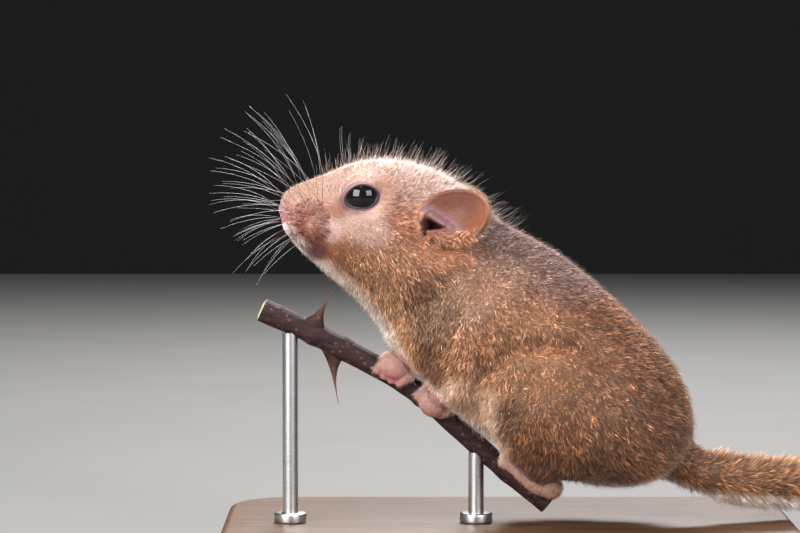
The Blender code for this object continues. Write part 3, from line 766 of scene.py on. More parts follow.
def coat_colours(points):
    """The colour of the hair that grows at each point, with painted shade at the knee's crease, the rump and
    the mouth's corner.
    """
    near = folded(points)
    flat = near[:, [0, 2]]
    total = np.full((len(points), 3), 1e-6) * np.array(COAT_COLOURS["brown haunch"][0])
    weights = np.full(len(points), 1e-6)
    for colour, spots in COAT_COLOURS.values():
        for x, z, reach in spots:
            weight = np.exp(-(np.linalg.norm(flat - (x, z), axis=1) / reach) ** 2 * 1.3)
            total += weight[:, None] * colour
            weights += weight
    colours = total / weights[:, None]
    width = np.interp(near[:, 0], [-28.0, -20.0, -16.0, -12.0, -4.0, 8.0, 24.0, 60.0],
                      [0.8, 1.7, 1.9, 1.2, 1.5, 3.2, 1.2, 0.5])
    under = side_distance(near, UNDERSIDE)
    inner = np.where(near[:, 0] > -5.0, 1 - ease(near[:, 1], 4.0, 6.5), 1.0)
    colours = tinted(colours, CREAM, (1 - ease(under, width * 0.45, width * 1.5)) * inner)
    colours = tinted(colours, FOOT_TAN, (1 - ease(foot_edge(points), 0.2, 1.4)) * 0.8)
    colours = tinted(colours, PAD_BROWN, (1 - ease(away(near, PAD_MIDDLE), 1.6, 3.6)) * 0.9)
    colours = tinted(colours, MUZZLE_PINK, (1 - ease(away(near, (-27.8, 2.0, 45.4)), 0.9, 2.4)) * 0.8)
    colours = tinted(colours, MUZZLE_PINK, (1 - ease(away(near, (-24.2, 3.9, 46.3)), 0.4, 1.4)) * 0.5)
    colours = tinted(colours, NOSE_LILAC, (1 - ease(away(near, NOSE_TIP), 1.1, 2.2)) * 0.9)
    colours = tinted(colours, LIP_WHITE, (1 - ease(side_distance(near, UNDERSIDE[:2]), 0.6, 1.7)) * 0.95)
    spot = np.linalg.norm((flat - (-22.6, 44.0)) * (1.0, 0.9), axis=1)
    colours = tinted(colours, PALE_SPOT, (1 - ease(spot, 0.6, 2.0)) * 0.85)
    # At the mouth's corner the coat takes the lips' maroon with painted shade under the upper lip.
    corner = np.linalg.norm((flat - (-24.7, 41.2)) * (0.8, 1.0), axis=1)
    return tinted(colours, MOUTH_MAROON_AND_SHADE, (1 - ease(corner, 0.6, 1.8)) * 0.92)


BARE_PINK = linear(156, 102, 102)
NOSE_PINK = linear(170, 124, 134)
NOSTRIL_SHADE = linear(84, 32, 36)
EYE_RING = linear(122, 92, 104)
LID_DARK = linear(30, 20, 24)
EAR_BROWN = linear(98, 49, 34)
EAR_RIM = linear(216, 160, 122)
EAR_RIDGE_HIGHLIGHT = linear(116, 86, 92)
EAR_TAN = linear(136, 80, 46)
EAR_CANAL_SHADE = linear(58, 26, 24)


def eye_corner(near):
    """How much further the bare rim of the eye reaches in front, at its corner."""
    level = np.exp(-((near[:, 2] - EYE_CENTRE[2] + 0.3) / 0.8) ** 2)
    return ease(EYE_CENTRE[0] - near[:, 0], 1.5, 2.3) * 0.18 * level


def near_eye(near):
    """Whether points lie on the outer side of the eye and close to it."""
    return (away(near, EYE_CENTRE) < 3.6) & (near[:, 1] > EYE_CENTRE[1])


def ear_facing(points, normals):
    """How far the surface at each point faces out of the ear, from -1 to 1."""
    return ear_place(np.array(EAR_CENTRE) + sided(points, normals))[2]


def bareness(points):
    """1 where the skin is bare, 0 where the coat hides it."""
    near = folded(points)
    bare = 1 - ease(away(near, NOSE_TIP), 1.0, 2.6)
    toes = 1 - ease(near[:, 1], 2.6, 4.0) * (near[:, 0] > -5.0)
    bare = np.maximum(bare, (1 - ease(foot_edge(points), 0.1, 0.8)) * toes)
    return np.maximum(bare, (1 - ease(almond(near) - eye_corner(near), 1.16, 1.3)) * near_eye(near))


def skin_colours(points, normals):
    """The skin's colour: the coat's, darkened as painted shade where hair covers it, and its own where it is
    bare.
    """
    near = folded(points)
    hair = coat_colours(points)
    # Painted shade: under the coat the skin is the hair's colour darkened, less under pale hair and under
    # the face's thin coat.
    colours = hair * (1.0, 0.88, 0.8) * np.interp(hair.mean(axis=1), [0.12, 0.45], [0.3, 0.62])[:, None]
    face = 1 - ease(away(near, NOSE_TIP), 6.0, 14.0)
    colours = colours + (hair * (0.8, 0.72, 0.7) - colours) * face[:, None]
    bare = np.where(away(near, NOSE_TIP)[:, None] < 8, NOSE_PINK, BARE_PINK)
    colours = colours + (bare - colours) * bareness(points)[:, None]
    opening = almond(near)
    by_eye = near_eye(near)
    colours = tinted(colours, EYE_RING, (1 - ease(opening - eye_corner(near), 1.2, 1.36)) * by_eye * 0.85)
    colours = tinted(colours, LID_DARK, (1 - ease(opening, 1.08, 1.17)) * by_eye)
    # The line where the lips meet: the lips' maroon with painted shade in the groove.
    colours = tinted(colours, MOUTH_MAROON_AND_SHADE, np.exp(-(mouth_distance(near) / 0.3) ** 2) * 0.8)
    # Painted shade in the nostril's opening: a dark red spot over the shallow dent.
    colours = tinted(colours, NOSTRIL_SHADE, np.exp(-(away(near, NOSTRIL) / 0.48) ** 4))
    u, v, w = ear_place(points)
    rim = ear_rim(u, v)
    in_ear = (rim < 1.14) & (w > -5.5) & (w < 0.9)
    facing = ear_facing(points, normals)
    dish = ease(facing, -0.2, 0.3) * in_ear
    colours = tinted(colours, EAR_BROWN, dish * (1 - ease(rim, 1.0, 1.1)))
    # Painted highlight: a lighter lilac band on the fold round the top of the canal.
    ridge = np.exp(-((ear_pit(u, v) - 1.9) / 0.75) ** 2) * ease(u * 0.5 + v, -3.4, -1.6)
    colours = tinted(colours, EAR_RIDGE_HIGHLIGHT, dish * ridge * 0.9)
    colours = tinted(colours, EAR_TAN, dish * ease(u - 0.5 * v, 0.8, 4.2) * 0.6)
    colours = tinted(colours, EAR_RIM, in_ear * ease(rim, 0.95, 1.0) * ease(w, -2.2, -0.8) * 0.8)
    # Painted shade: the skin down in the ear's canal is darkened to a near-black red.
    canal = (1 - ease(ear_pit(u, v), 0.75, 1.08)) * (facing > -0.6)
    return tinted(colours, EAR_CANAL_SHADE, in_ear * canal * 0.95)


# The lids' section, from inside the socket out to under the skin: how wide, and how high over the eyeball.
LID_SECTION = ((0.92, -0.08), (0.94, 0.05), (0.98, 0.13), (1.03, 0.18), (1.09, 0.21), (1.16, 0.24),
               (1.24, 0.22), (1.31, 0.1), (1.35, -0.15))
LID_SIDES = 128


def lid_ring(side):
    """The edge of both lids: a thin rounded band round the almond, lying on the eye."""
    bm = bmesh.new()
    rings = []
    for scale, height in LID_SECTION:
        ring = bmesh.ops.create_circle(bm, segments=LID_SIDES, radius=1.0)["verts"]
        for vertex in ring:
            u = vertex.co.x * (LID_REACH[0] if vertex.co.x < 0 else LID_REACH[1]) * scale
            v = vertex.co.y * LID_REACH[2] * scale - (0.085 * u * u if u < 0 else 0.0)
            radius = EYE_RADIUS + height
            flat = min(math.hypot(u, v), radius * 0.985)
            stretch = flat / max(math.hypot(u, v), 1e-9)
            w = math.sqrt(max(radius * radius - flat * flat, 0.0))
            vertex.co = Vector((u * stretch, side * w, v * stretch))
        rings.append(ring)
    bridge(bm, rings)
    bmesh.ops.translate(bm, vec=(EYE_CENTRE[0], side * EYE_CENTRE[1], EYE_CENTRE[2]), verts=bm.verts)
    bmesh.ops.recalc_face_normals(bm, faces=bm.faces)
    if sum(face.normal.y for face in bm.faces) * side < 0:
        bmesh.ops.reverse_faces(bm, faces=bm.faces)
    return bm


def skin_material():
    """Soft living skin: its painted colour, faintly mottled, over fine pores."""
    finish, tree, shader = new_finish("skin", Specular_IOR_Level=0.35, Subsurface_Weight=0.12,
                                      Subsurface_Scale=0.0006, Subsurface_Radius=(1.0, 0.35, 0.2))
    tone = add(tree, "ShaderNodeAttribute", attribute_name="skin_colour")
    mottle = texture(tree, "ShaderNodeTexNoise", {"Scale": 900.0, "Detail": 4.0, "Roughness": 0.6})
    mixed = add(tree, "ShaderNodeMix", {"Factor": 0.35}, data_type="RGBA", blend_type="MULTIPLY")
    tree.links.new(tone.outputs["Color"], mixed.inputs["A"])
    tree.links.new(ramp(tree, mottle.outputs["Fac"], [(0.3, (0.62, 0.5, 0.48)), (0.62, (1.0, 1.0, 1.0))]),
                   mixed.inputs["B"])
    painted(tree, shader, mixed.outputs["Result"], mottle.outputs["Fac"], 0.42, 0.62)
    pores = texture(tree, "ShaderNodeTexVoronoi", {"Scale": 4200.0}, feature="DISTANCE_TO_EDGE")
    height = add(tree, "ShaderNodeMath", {1: 0.6}, operation="MULTIPLY_ADD")
    tree.links.new(mottle.outputs["Fac"], height.inputs[0])
    tree.links.new(pores.outputs["Distance"], height.inputs[2])
    bumped(tree, shader, height.outputs[0], 0.00006, 0.5)
    return finish


bm = bmesh.new()
bm.from_mesh(skin_mesh)
bmesh.ops.scale(bm, vec=(1 / MM, 1 / MM, 1 / MM), verts=bm.verts)
for side in SIDES:
    ring = lid_ring(side)
    lid_mesh = bpy.data.meshes.new("lids")
    ring.to_mesh(lid_mesh)
    ring.free()
    bm.from_mesh(lid_mesh)
skin = settle(bm, "skin", skin_material(), "fur", *FLESH, "forefoot_left", "forefoot_right",
              "hindfoot_left", "hindfoot_right", "ear_left", "ear_right")
points = read_rows(skin.data.vertices, "co") / MM
colours = skin_colours(points, read_rows(skin.data.vertices, "normal"))
paint = skin.data.attributes.new("skin_colour", "FLOAT_COLOR", "POINT")
paint.data.foreach_set("color", np.c_[colours, np.ones(len(colours))].astype(np.float32).ravel())
# The skin's own unwrap, on which each hair later has a small patch at its root's place.
bpy.context.view_layer.objects.active = skin
skin.select_set(True)
bpy.ops.object.mode_set(mode="EDIT")
bpy.ops.mesh.select_all(action="SELECT")
bpy.ops.uv.smart_project(angle_limit=math.radians(66), island_margin=0.002)
bpy.ops.object.mode_set(mode="OBJECT")
skin.data.uv_layers.active.name = "OFBake"

# The eyes are glass: near-black balls that fill the sockets and touch the lids, under a clear wet shine.
# A dark brown iris shows faintly round a wide pupil, and the ball is one turned piece.
eye_glass, tree, shader = new_finish("eye_glass", Roughness=0.05, Specular_IOR_Level=0.24, Coat_Weight=0.12,
                                     Coat_Roughness=0.02)
EYE_BLACK = (0.004, 0.003, 0.004, 1.0)
fleck = texture(tree, "ShaderNodeTexNoise", {"Scale": 1400.0, "Detail": 3.0})
iris_brown = ramp(tree, fleck.outputs["Fac"], [(0.35, (0.008, 0.005, 0.004)), (0.7, (0.02, 0.011, 0.007))])
iris = add(tree, "ShaderNodeAttribute", attribute_name="iris")
brown = add(tree, "ShaderNodeMix", {"A": EYE_BLACK}, data_type="RGBA")
tree.links.new(iris_brown, brown.inputs["B"])
tree.links.new(iris.outputs["Fac"], brown.inputs["Factor"])
tree.links.new(brown.outputs["Result"], shader.inputs["Base Color"])
for name, side in (("left", -1), ("right", 1)):
    bm = bmesh.new()
    ring_share = bm.verts.layers.float.new("iris")
    bmesh.ops.create_uvsphere(bm, u_segments=64, v_segments=40, radius=EYE_RADIUS,
                              matrix=Matrix.Rotation(math.pi / 2, 4, "X"))
    for vertex in bm.verts:
        across = math.hypot(vertex.co.x, vertex.co.z) / EYE_RADIUS
        vertex[ring_share] = float(ease(np.array(across), 0.62, 0.72))
    bmesh.ops.translate(bm, vec=(EYE_CENTRE[0], side * EYE_CENTRE[1], EYE_CENTRE[2]), verts=bm.verts)
    settle(bm, "eyeball_" + name, eye_glass, "eye_black", "eye_" + name)

# The claws are short, curved and pointed, of clear horn, pink at the root and pale at the tip.
# There is one on each finger and toe, grown out of the end of its pad.
horn, tree, shader = new_finish("claw_horn", Roughness=0.3, Specular_IOR_Level=0.5)
horn_share = add(tree, "ShaderNodeAttribute", attribute_name="tip")
horn_tone = ramp(tree, horn_share.outputs["Fac"],
                 [(0.0, linear(190, 128, 112)), (0.8, linear(214, 178, 156))])
painted(tree, shader, horn_tone, horn_share.outputs["Fac"], 0.4, 0.22)
CLAW_RADII = (0.17, 0.15, 0.12, 0.08, 0.025)
bm = bmesh.new()
tip_share = bm.verts.layers.float.new("tip")
for end, way in claw_roots:
    inward = (stem_point(stem_share_at(end.x)) - end).normalized()
    root = end - way * 0.1 - inward * 0.22
    steps = [root + way * 0.6 * t + inward * 0.4 * t * t for t in (0.0, 0.25, 0.5, 0.75, 1.0)]
    claw_rings, _ = sweep(bm, steps, CLAW_RADII, 10)
    for k, ring in enumerate(claw_rings):
        for vertex in ring:
            vertex[tip_share] = k / (len(CLAW_RADII) - 1)
bmesh.ops.recalc_face_normals(bm, faces=bm.faces)
settle(bm, "claws", horn, "pink_skin")

# The coat is dense soft fur over all but nose, eyes, ears and feet. Each spike stands for a few hairs: short
# and straight in the underfur, longer and bent in the top coat. It grows out of the skin, leans the way that
# the coat lies, and draws together with its neighbours in small locks.
SEED = 20
UNDERFUR_HAIRS = 288000
TOP_HAIRS = 19000
HAIRS_PER_PIECE = 48000
# A lying hair stands this share of its length high.
LYING_SHARE = 0.74
# Half the width of a hair's patch on the map.
UV_HALF = 0.0015
HAIRS_PER_PATCH = 36
DARK_HAIRS = 0.24
PAD_STROKES = linear(128, 56, 32)
EAR_BACK = linear(170, 120, 90)
# Places on the right side, each with the direction that its hair lies in, and how far it stands up.
LIE = [
    ((-28.0, 0.5, 49.0), (0.9, 0.0, 0.35), 0.2), ((-26.0, 3.5, 45.0), (0.85, 0.3, -0.1), 0.2),
    ((-26.0, 1.0, 41.5), (0.6, 0.1, -0.75), 0.5), ((-18.0, 1.0, 52.5), (1.0, 0.0, 0.05), 0.7),
    ((-10.0, 1.0, 52.0), (0.95, 0.1, -0.15), 0.7), ((-18.0, 7.0, 43.0), (0.75, 0.1, -0.6), 0.3),
    ((-14.0, 8.0, 47.0), (0.9, 0.1, -0.25), 0.2), ((-22.0, 1.0, 51.0), (0.95, 0.1, 0.1), 0.6),
    ((-19.0, 1.0, 34.5), (0.3, 0.1, -0.95), 0.7), ((-3.0, 1.0, 46.0), (0.85, 0.0, -0.5), 0.4),
    ((-3.0, 8.0, 42.0), (0.7, 0.1, -0.7), 0.35), ((-9.0, 9.0, 40.5), (0.8, 0.2, -0.5), 0.35),
    ((-3.0, 10.0, 34.0), (0.4, 0.1, -0.9), 0.3), ((-10.0, 8.0, 35.0), (0.3, 0.1, -0.95), 0.35),
    ((-13.0, 2.0, 27.0), (0.0, 0.1, -1.0), 0.6), ((8.0, 2.0, 40.0), (0.75, 0.0, -0.65), 0.3),
    ((5.0, 11.0, 30.0), (0.4, 0.1, -0.9), 0.25), ((20.0, 4.0, 24.0), (0.6, 0.0, -0.8), 0.5),
    ((14.0, 8.0, 26.0), (0.65, 0.0, -0.75), 0.3), ((0.0, 2.0, 16.0), (0.7, 0.0, -0.5), 0.4),
    ((-6.0, 7.0, 25.0), (-0.2, -0.2, -0.95), 0.35), ((5.0, 13.0, 22.0), (0.35, 0.1, -0.95), 0.3),
    ((-2.0, 12.0, 20.0), (-0.25, 0.1, -0.95), 0.4), ((1.0, 9.0, 14.0), (-0.3, -0.3, -0.8), 0.3),
    ((15.0, 4.0, 12.0), (0.95, 0.0, -0.2), 0.4), ((25.0, -0.6, 12.6), (0.97, 0.0, -0.1), 0.5),
    ((43.0, 5.0, 10.8), (0.92, 0.3, 0.1), 0.5), ((62.0, 12.5, 14.4), (0.85, 0.3, 0.4), 0.5),
    ((71.0, 13.5, 17.4), (0.8, 0.1, 0.5), 0.7),
]
rng = np.random.default_rng(SEED)


def comb(points):
    """The way that the coat lies at each point, and how far it stands, blended between the LIE places."""
    on_body = points[:, 0] < 22.0
    near = np.where(on_body[:, None], folded(points), points)
    way = np.zeros((len(points), 3))
    lift = np.zeros(len(points))
    weights = np.zeros(len(points))
    for place, direction, stands in LIE:
        weight = 1.0 / (away(near, place) ** 2 + 1.0) ** 2
        way += weight[:, None] * unit(np.array(direction))
        lift += weight * stands
        weights += weight
    way = np.where((on_body & (points[:, 1] < 0))[:, None], way * (1, -1, 1), way)
    return unit(way), lift / weights


class Ground:
    """The skin's triangles, to grow hairs on."""

    def __init__(self, mesh):
        mesh.calc_loop_triangles()
        self.triangles = np.empty(len(mesh.loop_triangles) * 3, np.int32)
        mesh.loop_triangles.foreach_get("vertices", self.triangles)
        self.triangles = self.triangles.reshape(-1, 3)
        corners = np.empty(len(mesh.loop_triangles) * 3, np.int32)
        mesh.loop_triangles.foreach_get("loops", corners)
        self.points = read_rows(mesh.vertices, "co") / MM
        self.normals = read_rows(mesh.vertices, "normal")
        uv = read_rows(mesh.uv_layers["OFBake"].data, "uv", 2)
        self.uv = uv[corners.reshape(-1, 3)]
        a, b, c = (self.points[self.triangles[:, k]] for k in range(3))
        self.areas = 0.5 * np.linalg.norm(np.cross(b - a, c - a), axis=1)
        self.middles = (a + b + c) / 3

    def sow(self, count, density):
        """Evenly spread roots, more where density is higher: their places, normals and map places."""
        sums = np.cumsum(self.areas * density)
        picks = (np.arange(count) + rng.random(count)) / count * sums[-1]
        which = np.searchsorted(sums, picks).clip(0, len(sums) - 1)
        a, b = rng.random(count), rng.random(count)
        over = a + b > 1
        a, b = np.where(over, 1 - a, a), np.where(over, 1 - b, b)
        shares = np.c_[1 - a - b, a, b][:, :, None]
        chosen = self.triangles[which]
        normals = unit((self.normals[chosen] * shares).sum(axis=1))
        return (self.points[chosen] * shares).sum(axis=1), normals, (self.uv[which] * shares).sum(axis=1)


def hair_mesh(name, roots, bends, tips, across, widths, uv, colours):
    """One mesh of closed spikes, with three corners at the root, three at the bend, if any, and a tip."""
    count = len(roots)
    side_a = unit(across)
    side_b = unit(np.cross(unit(tips - roots), side_a))
    rings = [(roots, 0.45)] if bends is None else [(roots, 0.42), (bends, 0.5)]
    corners = 3 * len(rings) + 1
    points = np.empty((count, corners, 3))
    for ring, (middles, share) in enumerate(rings):
        for k in range(3):
            angle = 2 * math.pi * k / 3
            offset = side_a * math.cos(angle) + side_b * (math.sin(angle) * 0.7)
            points[:, 3 * ring + k] = middles + offset * (widths * share)[:, None]
    points[:, -1] = tips
    faces = [(0, 2, 1)]
    for k in range(3):
        m = (k + 1) % 3
        if bends is not None:
            faces.append((k, m, m + 3, k + 3))
        faces.append((corners - 4 + k, corners - 4 + m, corners - 1))
    pattern = np.concatenate(faces)
    sizes = np.array([len(face) for face in faces])
    order = (np.arange(count)[:, None] * corners + pattern[None, :]).ravel()
    mesh = bpy.data.meshes.new(name)
    mesh.vertices.add(count * corners)
    mesh.vertices.foreach_set("co", (points * MM).astype(np.float32).ravel())
    mesh.loops.add(len(order))
    mesh.loops.foreach_set("vertex_index", order.astype(np.int32))
    mesh.polygons.add(count * len(faces))
    starts = np.concatenate([[0], np.cumsum(np.tile(sizes, count))[:-1]])
    mesh.polygons.foreach_set("loop_start", starts.astype(np.int32))
    mesh.update(calc_edges=True)
    heights = np.repeat([0.0, 0.55][:len(rings)], 3).tolist() + [1.0]
    shades = np.repeat(colours, corners, axis=0)
    paint = mesh.attributes.new("hair_colour", "FLOAT_COLOR", "POINT")
    paint.data.foreach_set("color", np.c_[shades, np.ones(len(shades))].astype(np.float32).ravel())
    share = mesh.attributes.new("along", "FLOAT", "POINT")
    share.data.foreach_set("value", np.tile(heights, count).astype(np.float32))
    fan = np.c_[np.resize([-1.0, 0.0, 1.0], corners), 2 * np.array(heights) - 1] * UV_HALF
    fan[-1, 0] = 0.0
    layer = mesh.uv_layers.new(name="OFBake")
    corner_uv = (uv[:, None, :] + fan[pattern][None, :, :]).reshape(-1, 2)
    layer.data.foreach_set("uv", np.clip(corner_uv, 0.0, 1.0).astype(np.float32).ravel())
    return mesh


def coat_tone_group():
    """Fur's colour from its root to its tip: a dark warm root, the hair's own colour, and a lighter end."""
    inputs = {"Hair": ("Color", (0.5, 0.3, 0.2, 1.0)), "Along": ("Float", 0.5), "Grain": ("Float", 0.5)}
    tree, given, out = new_group("coat_tone", inputs, {"Color": "Color"})
    warm = add(tree, "ShaderNodeMix", {"Factor": 1.0, "B": (1.0, 0.85, 0.76, 1.0)}, data_type="RGBA",
               blend_type="MULTIPLY")
    paleness = add(tree, "ShaderNodeRGBToBW")
    root = add(tree, "ShaderNodeVectorMath", operation="SCALE")
    tree.links.new(given.outputs["Hair"], warm.inputs["A"])
    tree.links.new(given.outputs["Hair"], paleness.inputs["Color"])
    tree.links.new(warm.outputs["Result"], root.inputs[0])
    tree.links.new(spread(tree, paleness.outputs["Val"], 0.16, 0.72, 0.08, 0.5), root.inputs["Scale"])
    tip = add(tree, "ShaderNodeMix", {"Factor": 1.0, "B": (1.45, 1.45, 1.4, 1.0)}, data_type="RGBA",
              blend_type="MULTIPLY")
    tree.links.new(given.outputs["Hair"], tip.inputs["A"])
    blend = add(tree, "ShaderNodeMix", data_type="RGBA")
    share = spread(tree, given.outputs["Along"], 0.0, 1.0, 0.2, 0.9, interpolation_type="SMOOTHSTEP")
    tree.links.new(share, blend.inputs["Factor"])
    tree.links.new(root.outputs["Vector"], blend.inputs["A"])
    tree.links.new(tip.outputs["Result"], blend.inputs["B"])
    done = add(tree, "ShaderNodeVectorMath", operation="SCALE")
    tree.links.new(blend.outputs["Result"], done.inputs[0])
    tree.links.new(spread(tree, given.outputs["Grain"], 0.82, 1.12, 0.3, 0.7), done.inputs["Scale"])
    tree.links.new(done.outputs["Vector"], out.inputs["Color"])
    return tree


def fur_material(name, roughness):
    """Fur: each hair's painted colour, darker at the root, with a soft sheen."""
    finish, tree, shader = new_finish(name, Roughness=roughness, Specular_IOR_Level=0.25, Sheen_Weight=0.15,
                                      Sheen_Roughness=0.5)
    hair = add(tree, "ShaderNodeAttribute", attribute_name="hair_colour")
    along = add(tree, "ShaderNodeAttribute", attribute_name="along")
    grain = texture(tree, "ShaderNodeTexNoise", {"Scale": 700.0, "Detail": 3.0, "Roughness": 0.6})
    tone = use_group(tree, coat_tone)
    tree.links.new(hair.outputs["Color"], tone.inputs["Hair"])
    tree.links.new(along.outputs["Fac"], tone.inputs["Along"])
    tree.links.new(grain.outputs["Fac"], tone.inputs["Grain"])
    painted(tree, shader, tone.outputs["Color"], grain.outputs["Fac"], roughness - 0.08, roughness + 0.1)
    return finish


def lock_leaders(roots, every):
    """For each hair, the nearest of every so many hairs: the one that leads its lock."""
    leaders = rng.permutation(len(roots))[:len(roots) // every]
    tree = kdtree.KDTree(len(leaders))
    for k, leader in enumerate(leaders):
        tree.insert(roots[leader], k)
    tree.balance()
    return leaders[[tree.find(root)[1] for root in roots]]


def shared_noise(leaders, in_lock, own):
    """Random numbers round 0: one that each lock shares, and one of each hair's own."""
    return rng.normal(0, 1, len(leaders))[leaders] * in_lock + rng.normal(0, 1, len(leaders)) * own


# A fully raised hair stands this much steeper than one that lies flat.
LIFT_DEG = 28


def spikes(roots, normals, way, lift, lengths, angles_deg, leaders, turns_deg):
    """Bend and tip of each hair: it leaves the skin at the first angle and ends at the last."""
    flat = unit(way - normals * (way * normals).sum(axis=1, keepdims=True))
    first, last = (np.radians(angle + lift * LIFT_DEG + shared_noise(leaders, 7, 7))[:, None]
                   for angle in angles_deg)
    turn = np.radians(shared_noise(leaders, *turns_deg))[:, None]
    kink = np.radians(shared_noise(leaders, *turns_deg) * 0.6)[:, None]
    square = np.cross(normals, flat)
    flat, flat_end = (unit(flat * np.cos(angle) + square * np.sin(angle)) for angle in (turn, turn + kink))
    bends = roots + (flat * np.cos(first) + normals * np.sin(first)) * lengths[:, None] * 0.5
    tips = bends + (flat_end * np.cos(last) + normals * np.sin(last)) * lengths[:, None] * 0.5
    return bends, tips, np.cross(normals, flat)


def gathered(roots, bends, tips, leaders, pull):
    """Draws each tip toward the tip of the hair that leads its lock."""
    share = (pull * rng.uniform(0.5, 1.0, len(roots)))[:, None]
    gap = np.linalg.norm(roots[leaders] - roots, axis=1, keepdims=True)
    share = share * np.clip(1.6 / np.maximum(gap, 0.1), 0.0, 1.0)
    return bends + (bends[leaders] - bends) * share * 0.3, tips + (tips[leaders] - tips) * share


def ear_masks(points, normals):
    """Where the ear is, and where its bare inner side is."""
    u, v, w = ear_place(points)
    rim = ear_rim(u, v)
    whole = (rim < 1.12) & (w > -1.9 - 1.4 * (1 - np.minimum(rim, 1.0))) & (w < 1.0)
    lower = (v < -1.9) & (u < 3.0)
    dish = whole & (ear_facing(points, normals) > 0.1) & (rim < 1.0) & ~lower
    return whole, dish | (ear_pit(u, v) < 1.1) & (rim < 1.1) & (w > -5)


coat_tone = coat_tone_group()
ground = Ground(skin.data)
middle_normals = unit(ground.normals[ground.triangles].sum(axis=1))
whole_ear, inner_ear = ear_masks(ground.middles, middle_normals)
bare = bareness(ground.middles)
head_fur = fur_material("head_fur", 0.55)
body_fur = fur_material("body_fur", 0.5)


def grow_coat(name, count, per_piece, hairs_per_lock, bent, width_share):
    """One layer of the coat, in pieces along the body: straight underfur, or bent top hair."""
    depth = coat_depth(ground.middles)
    density = np.interp(depth, [0.1, 0.4, 1.0, 1.6], [50.0, 40.0, 27.0, 20.0])
    density = density * (1 - bare) * (1 - inner_ear)
    roots, normals, uv = ground.sow(count, density)
    way, lift = comb(roots)
    depth = coat_depth(roots)
    on_ear, _ = ear_masks(roots, normals)
    _, v, _ = ear_place(roots)
    below_ear = on_ear & (v < -1.7)
    on_pad = (away(folded(roots), PAD_MIDDLE) < 3.2) & (rng.random(count) < 0.3)
    on_tail = roots[:, 0] > 26.0
    standing = rng.random(count) < 0.14
    on_crown = ease(normals[:, 2], 0.2, 0.7) * (roots[:, 0] < -2)
    longer = 1 + 0.7 * standing + on_tail * (0.6 + 0.5 * ease(roots[:, 0], 56.0, 70.0))
    lift = np.where(below_ear, 0.1, lift + on_crown * np.where(standing, 1.0, 0.25) + 0.2 * on_tail)
    lengths = np.clip(depth / LYING_SHARE, 0.4, 3.2) * rng.uniform(0.6, 1.15, count) * longer
    lengths = np.where(on_ear, np.where(below_ear, 1.05, 0.6), np.where(on_pad, 1.05, lengths))
    widths = np.interp(depth, [0.1, 0.5, 1.6], [0.042, 0.056, 0.068]) * rng.uniform(0.65, 1.35, count)
    widths = np.where(on_pad, 0.075, widths * width_share)
    leaders = lock_leaders(roots, hairs_per_lock)
    turns_deg = np.interp(depth, [0.2, 0.8, 1.6], [8.0, 23.0, 35.0])
    bends, tips, across = spikes(roots, normals, way, lift, lengths, (42.0, 22.0), leaders,
                                 (turns_deg, turns_deg * 0.7))
    bends, tips = gathered(roots, bends, tips, leaders, 0.3)
    colours = coat_colours(roots)
    spread_share = ease(depth, 0.1, 0.6) * (1 - 0.7 * ease(colours.mean(axis=1), 0.25, 0.45))
    patches = lock_leaders(roots, HAIRS_PER_PATCH)
    noise = shared_noise(leaders, 0.3, 0.42) + shared_noise(patches, 0.2, 0.0)
    tone = np.exp(noise * (0.35 + 0.65 * spread_share))
    tone = np.where(rng.random(count) < DARK_HAIRS * spread_share, 0.25, tone)
    # Painted shade: the hairs just under the ear are darkened a little.
    colours = colours * np.where(below_ear, 0.85, 1.0)[:, None]
    colours = np.where(on_pad[:, None], np.array(PAD_STROKES), colours)
    colours = colours * tone[:, None] ** np.array((1.0, 1.12, 1.3))
    colours = np.where((on_ear & ~below_ear)[:, None], np.array(EAR_BACK), colours)
    roots = roots - normals * 0.05
    order = np.argsort(roots[:, 0])
    for number, start in enumerate(range(0, count, per_piece)):
        part = order[start:start + per_piece]
        finish, slot = (head_fur, "pale_fur") if roots[part, 0].mean() < -12 else (body_fur, "fur")
        mesh = hair_mesh(f"{name}_{number}", roots[part], bends[part] if bent else None, tips[part],
                         across[part], widths[part], uv[part], colours[part])
        settle_mesh(mesh, f"{name}_{number}", finish, slot)


grow_coat("underfur", UNDERFUR_HAIRS, HAIRS_PER_PIECE, 6, False, 1.0)
grow_coat("coat", TOP_HAIRS, HAIRS_PER_PIECE, 4, True, 1.2)

# Long thin guard hairs stand out of the coat on crown, nape, back and throat, pale against the dark.
# They are single hairs, longest on the crown, where they stand up and curve back.
guard_count = 6400
reach = ease(away(ground.middles, NOSE_TIP), 5.0, 12.0)
density = reach * (1 - bare) * (1 - whole_ear)
upper = ease(middle_normals[:, 2], -0.1, 0.5) * (ground.middles[:, 0] < 2)
density = density * (0.5 + 1.1 * upper)
roots, normals, uv = ground.sow(guard_count, density)
way, lift = comb(roots)
head_top = ease(normals[:, 2], 0.0, 0.6) * (roots[:, 0] < 0)
lengths = coat_depth(roots) * 1.3 + 0.6 + (0.6 + head_top * 2.4) * rng.random(guard_count) ** 2.5
leaders = np.arange(guard_count)
bends, tips, across = spikes(roots, normals, way, lift + head_top * 1.1, lengths, (28.0, 22.0), leaders,
                             (10.0, 10.0))
colours = coat_colours(roots) * rng.uniform(0.3, 0.9, guard_count)[:, None]
colours = tinted(colours, linear(166, 150, 144), head_top * 0.7)
mesh = hair_mesh("guard_hairs", roots, bends, tips, across, 0.02 + 0.009 * head_top, uv, colours)
settle_mesh(mesh, "guard_hairs", body_fur, "fur")

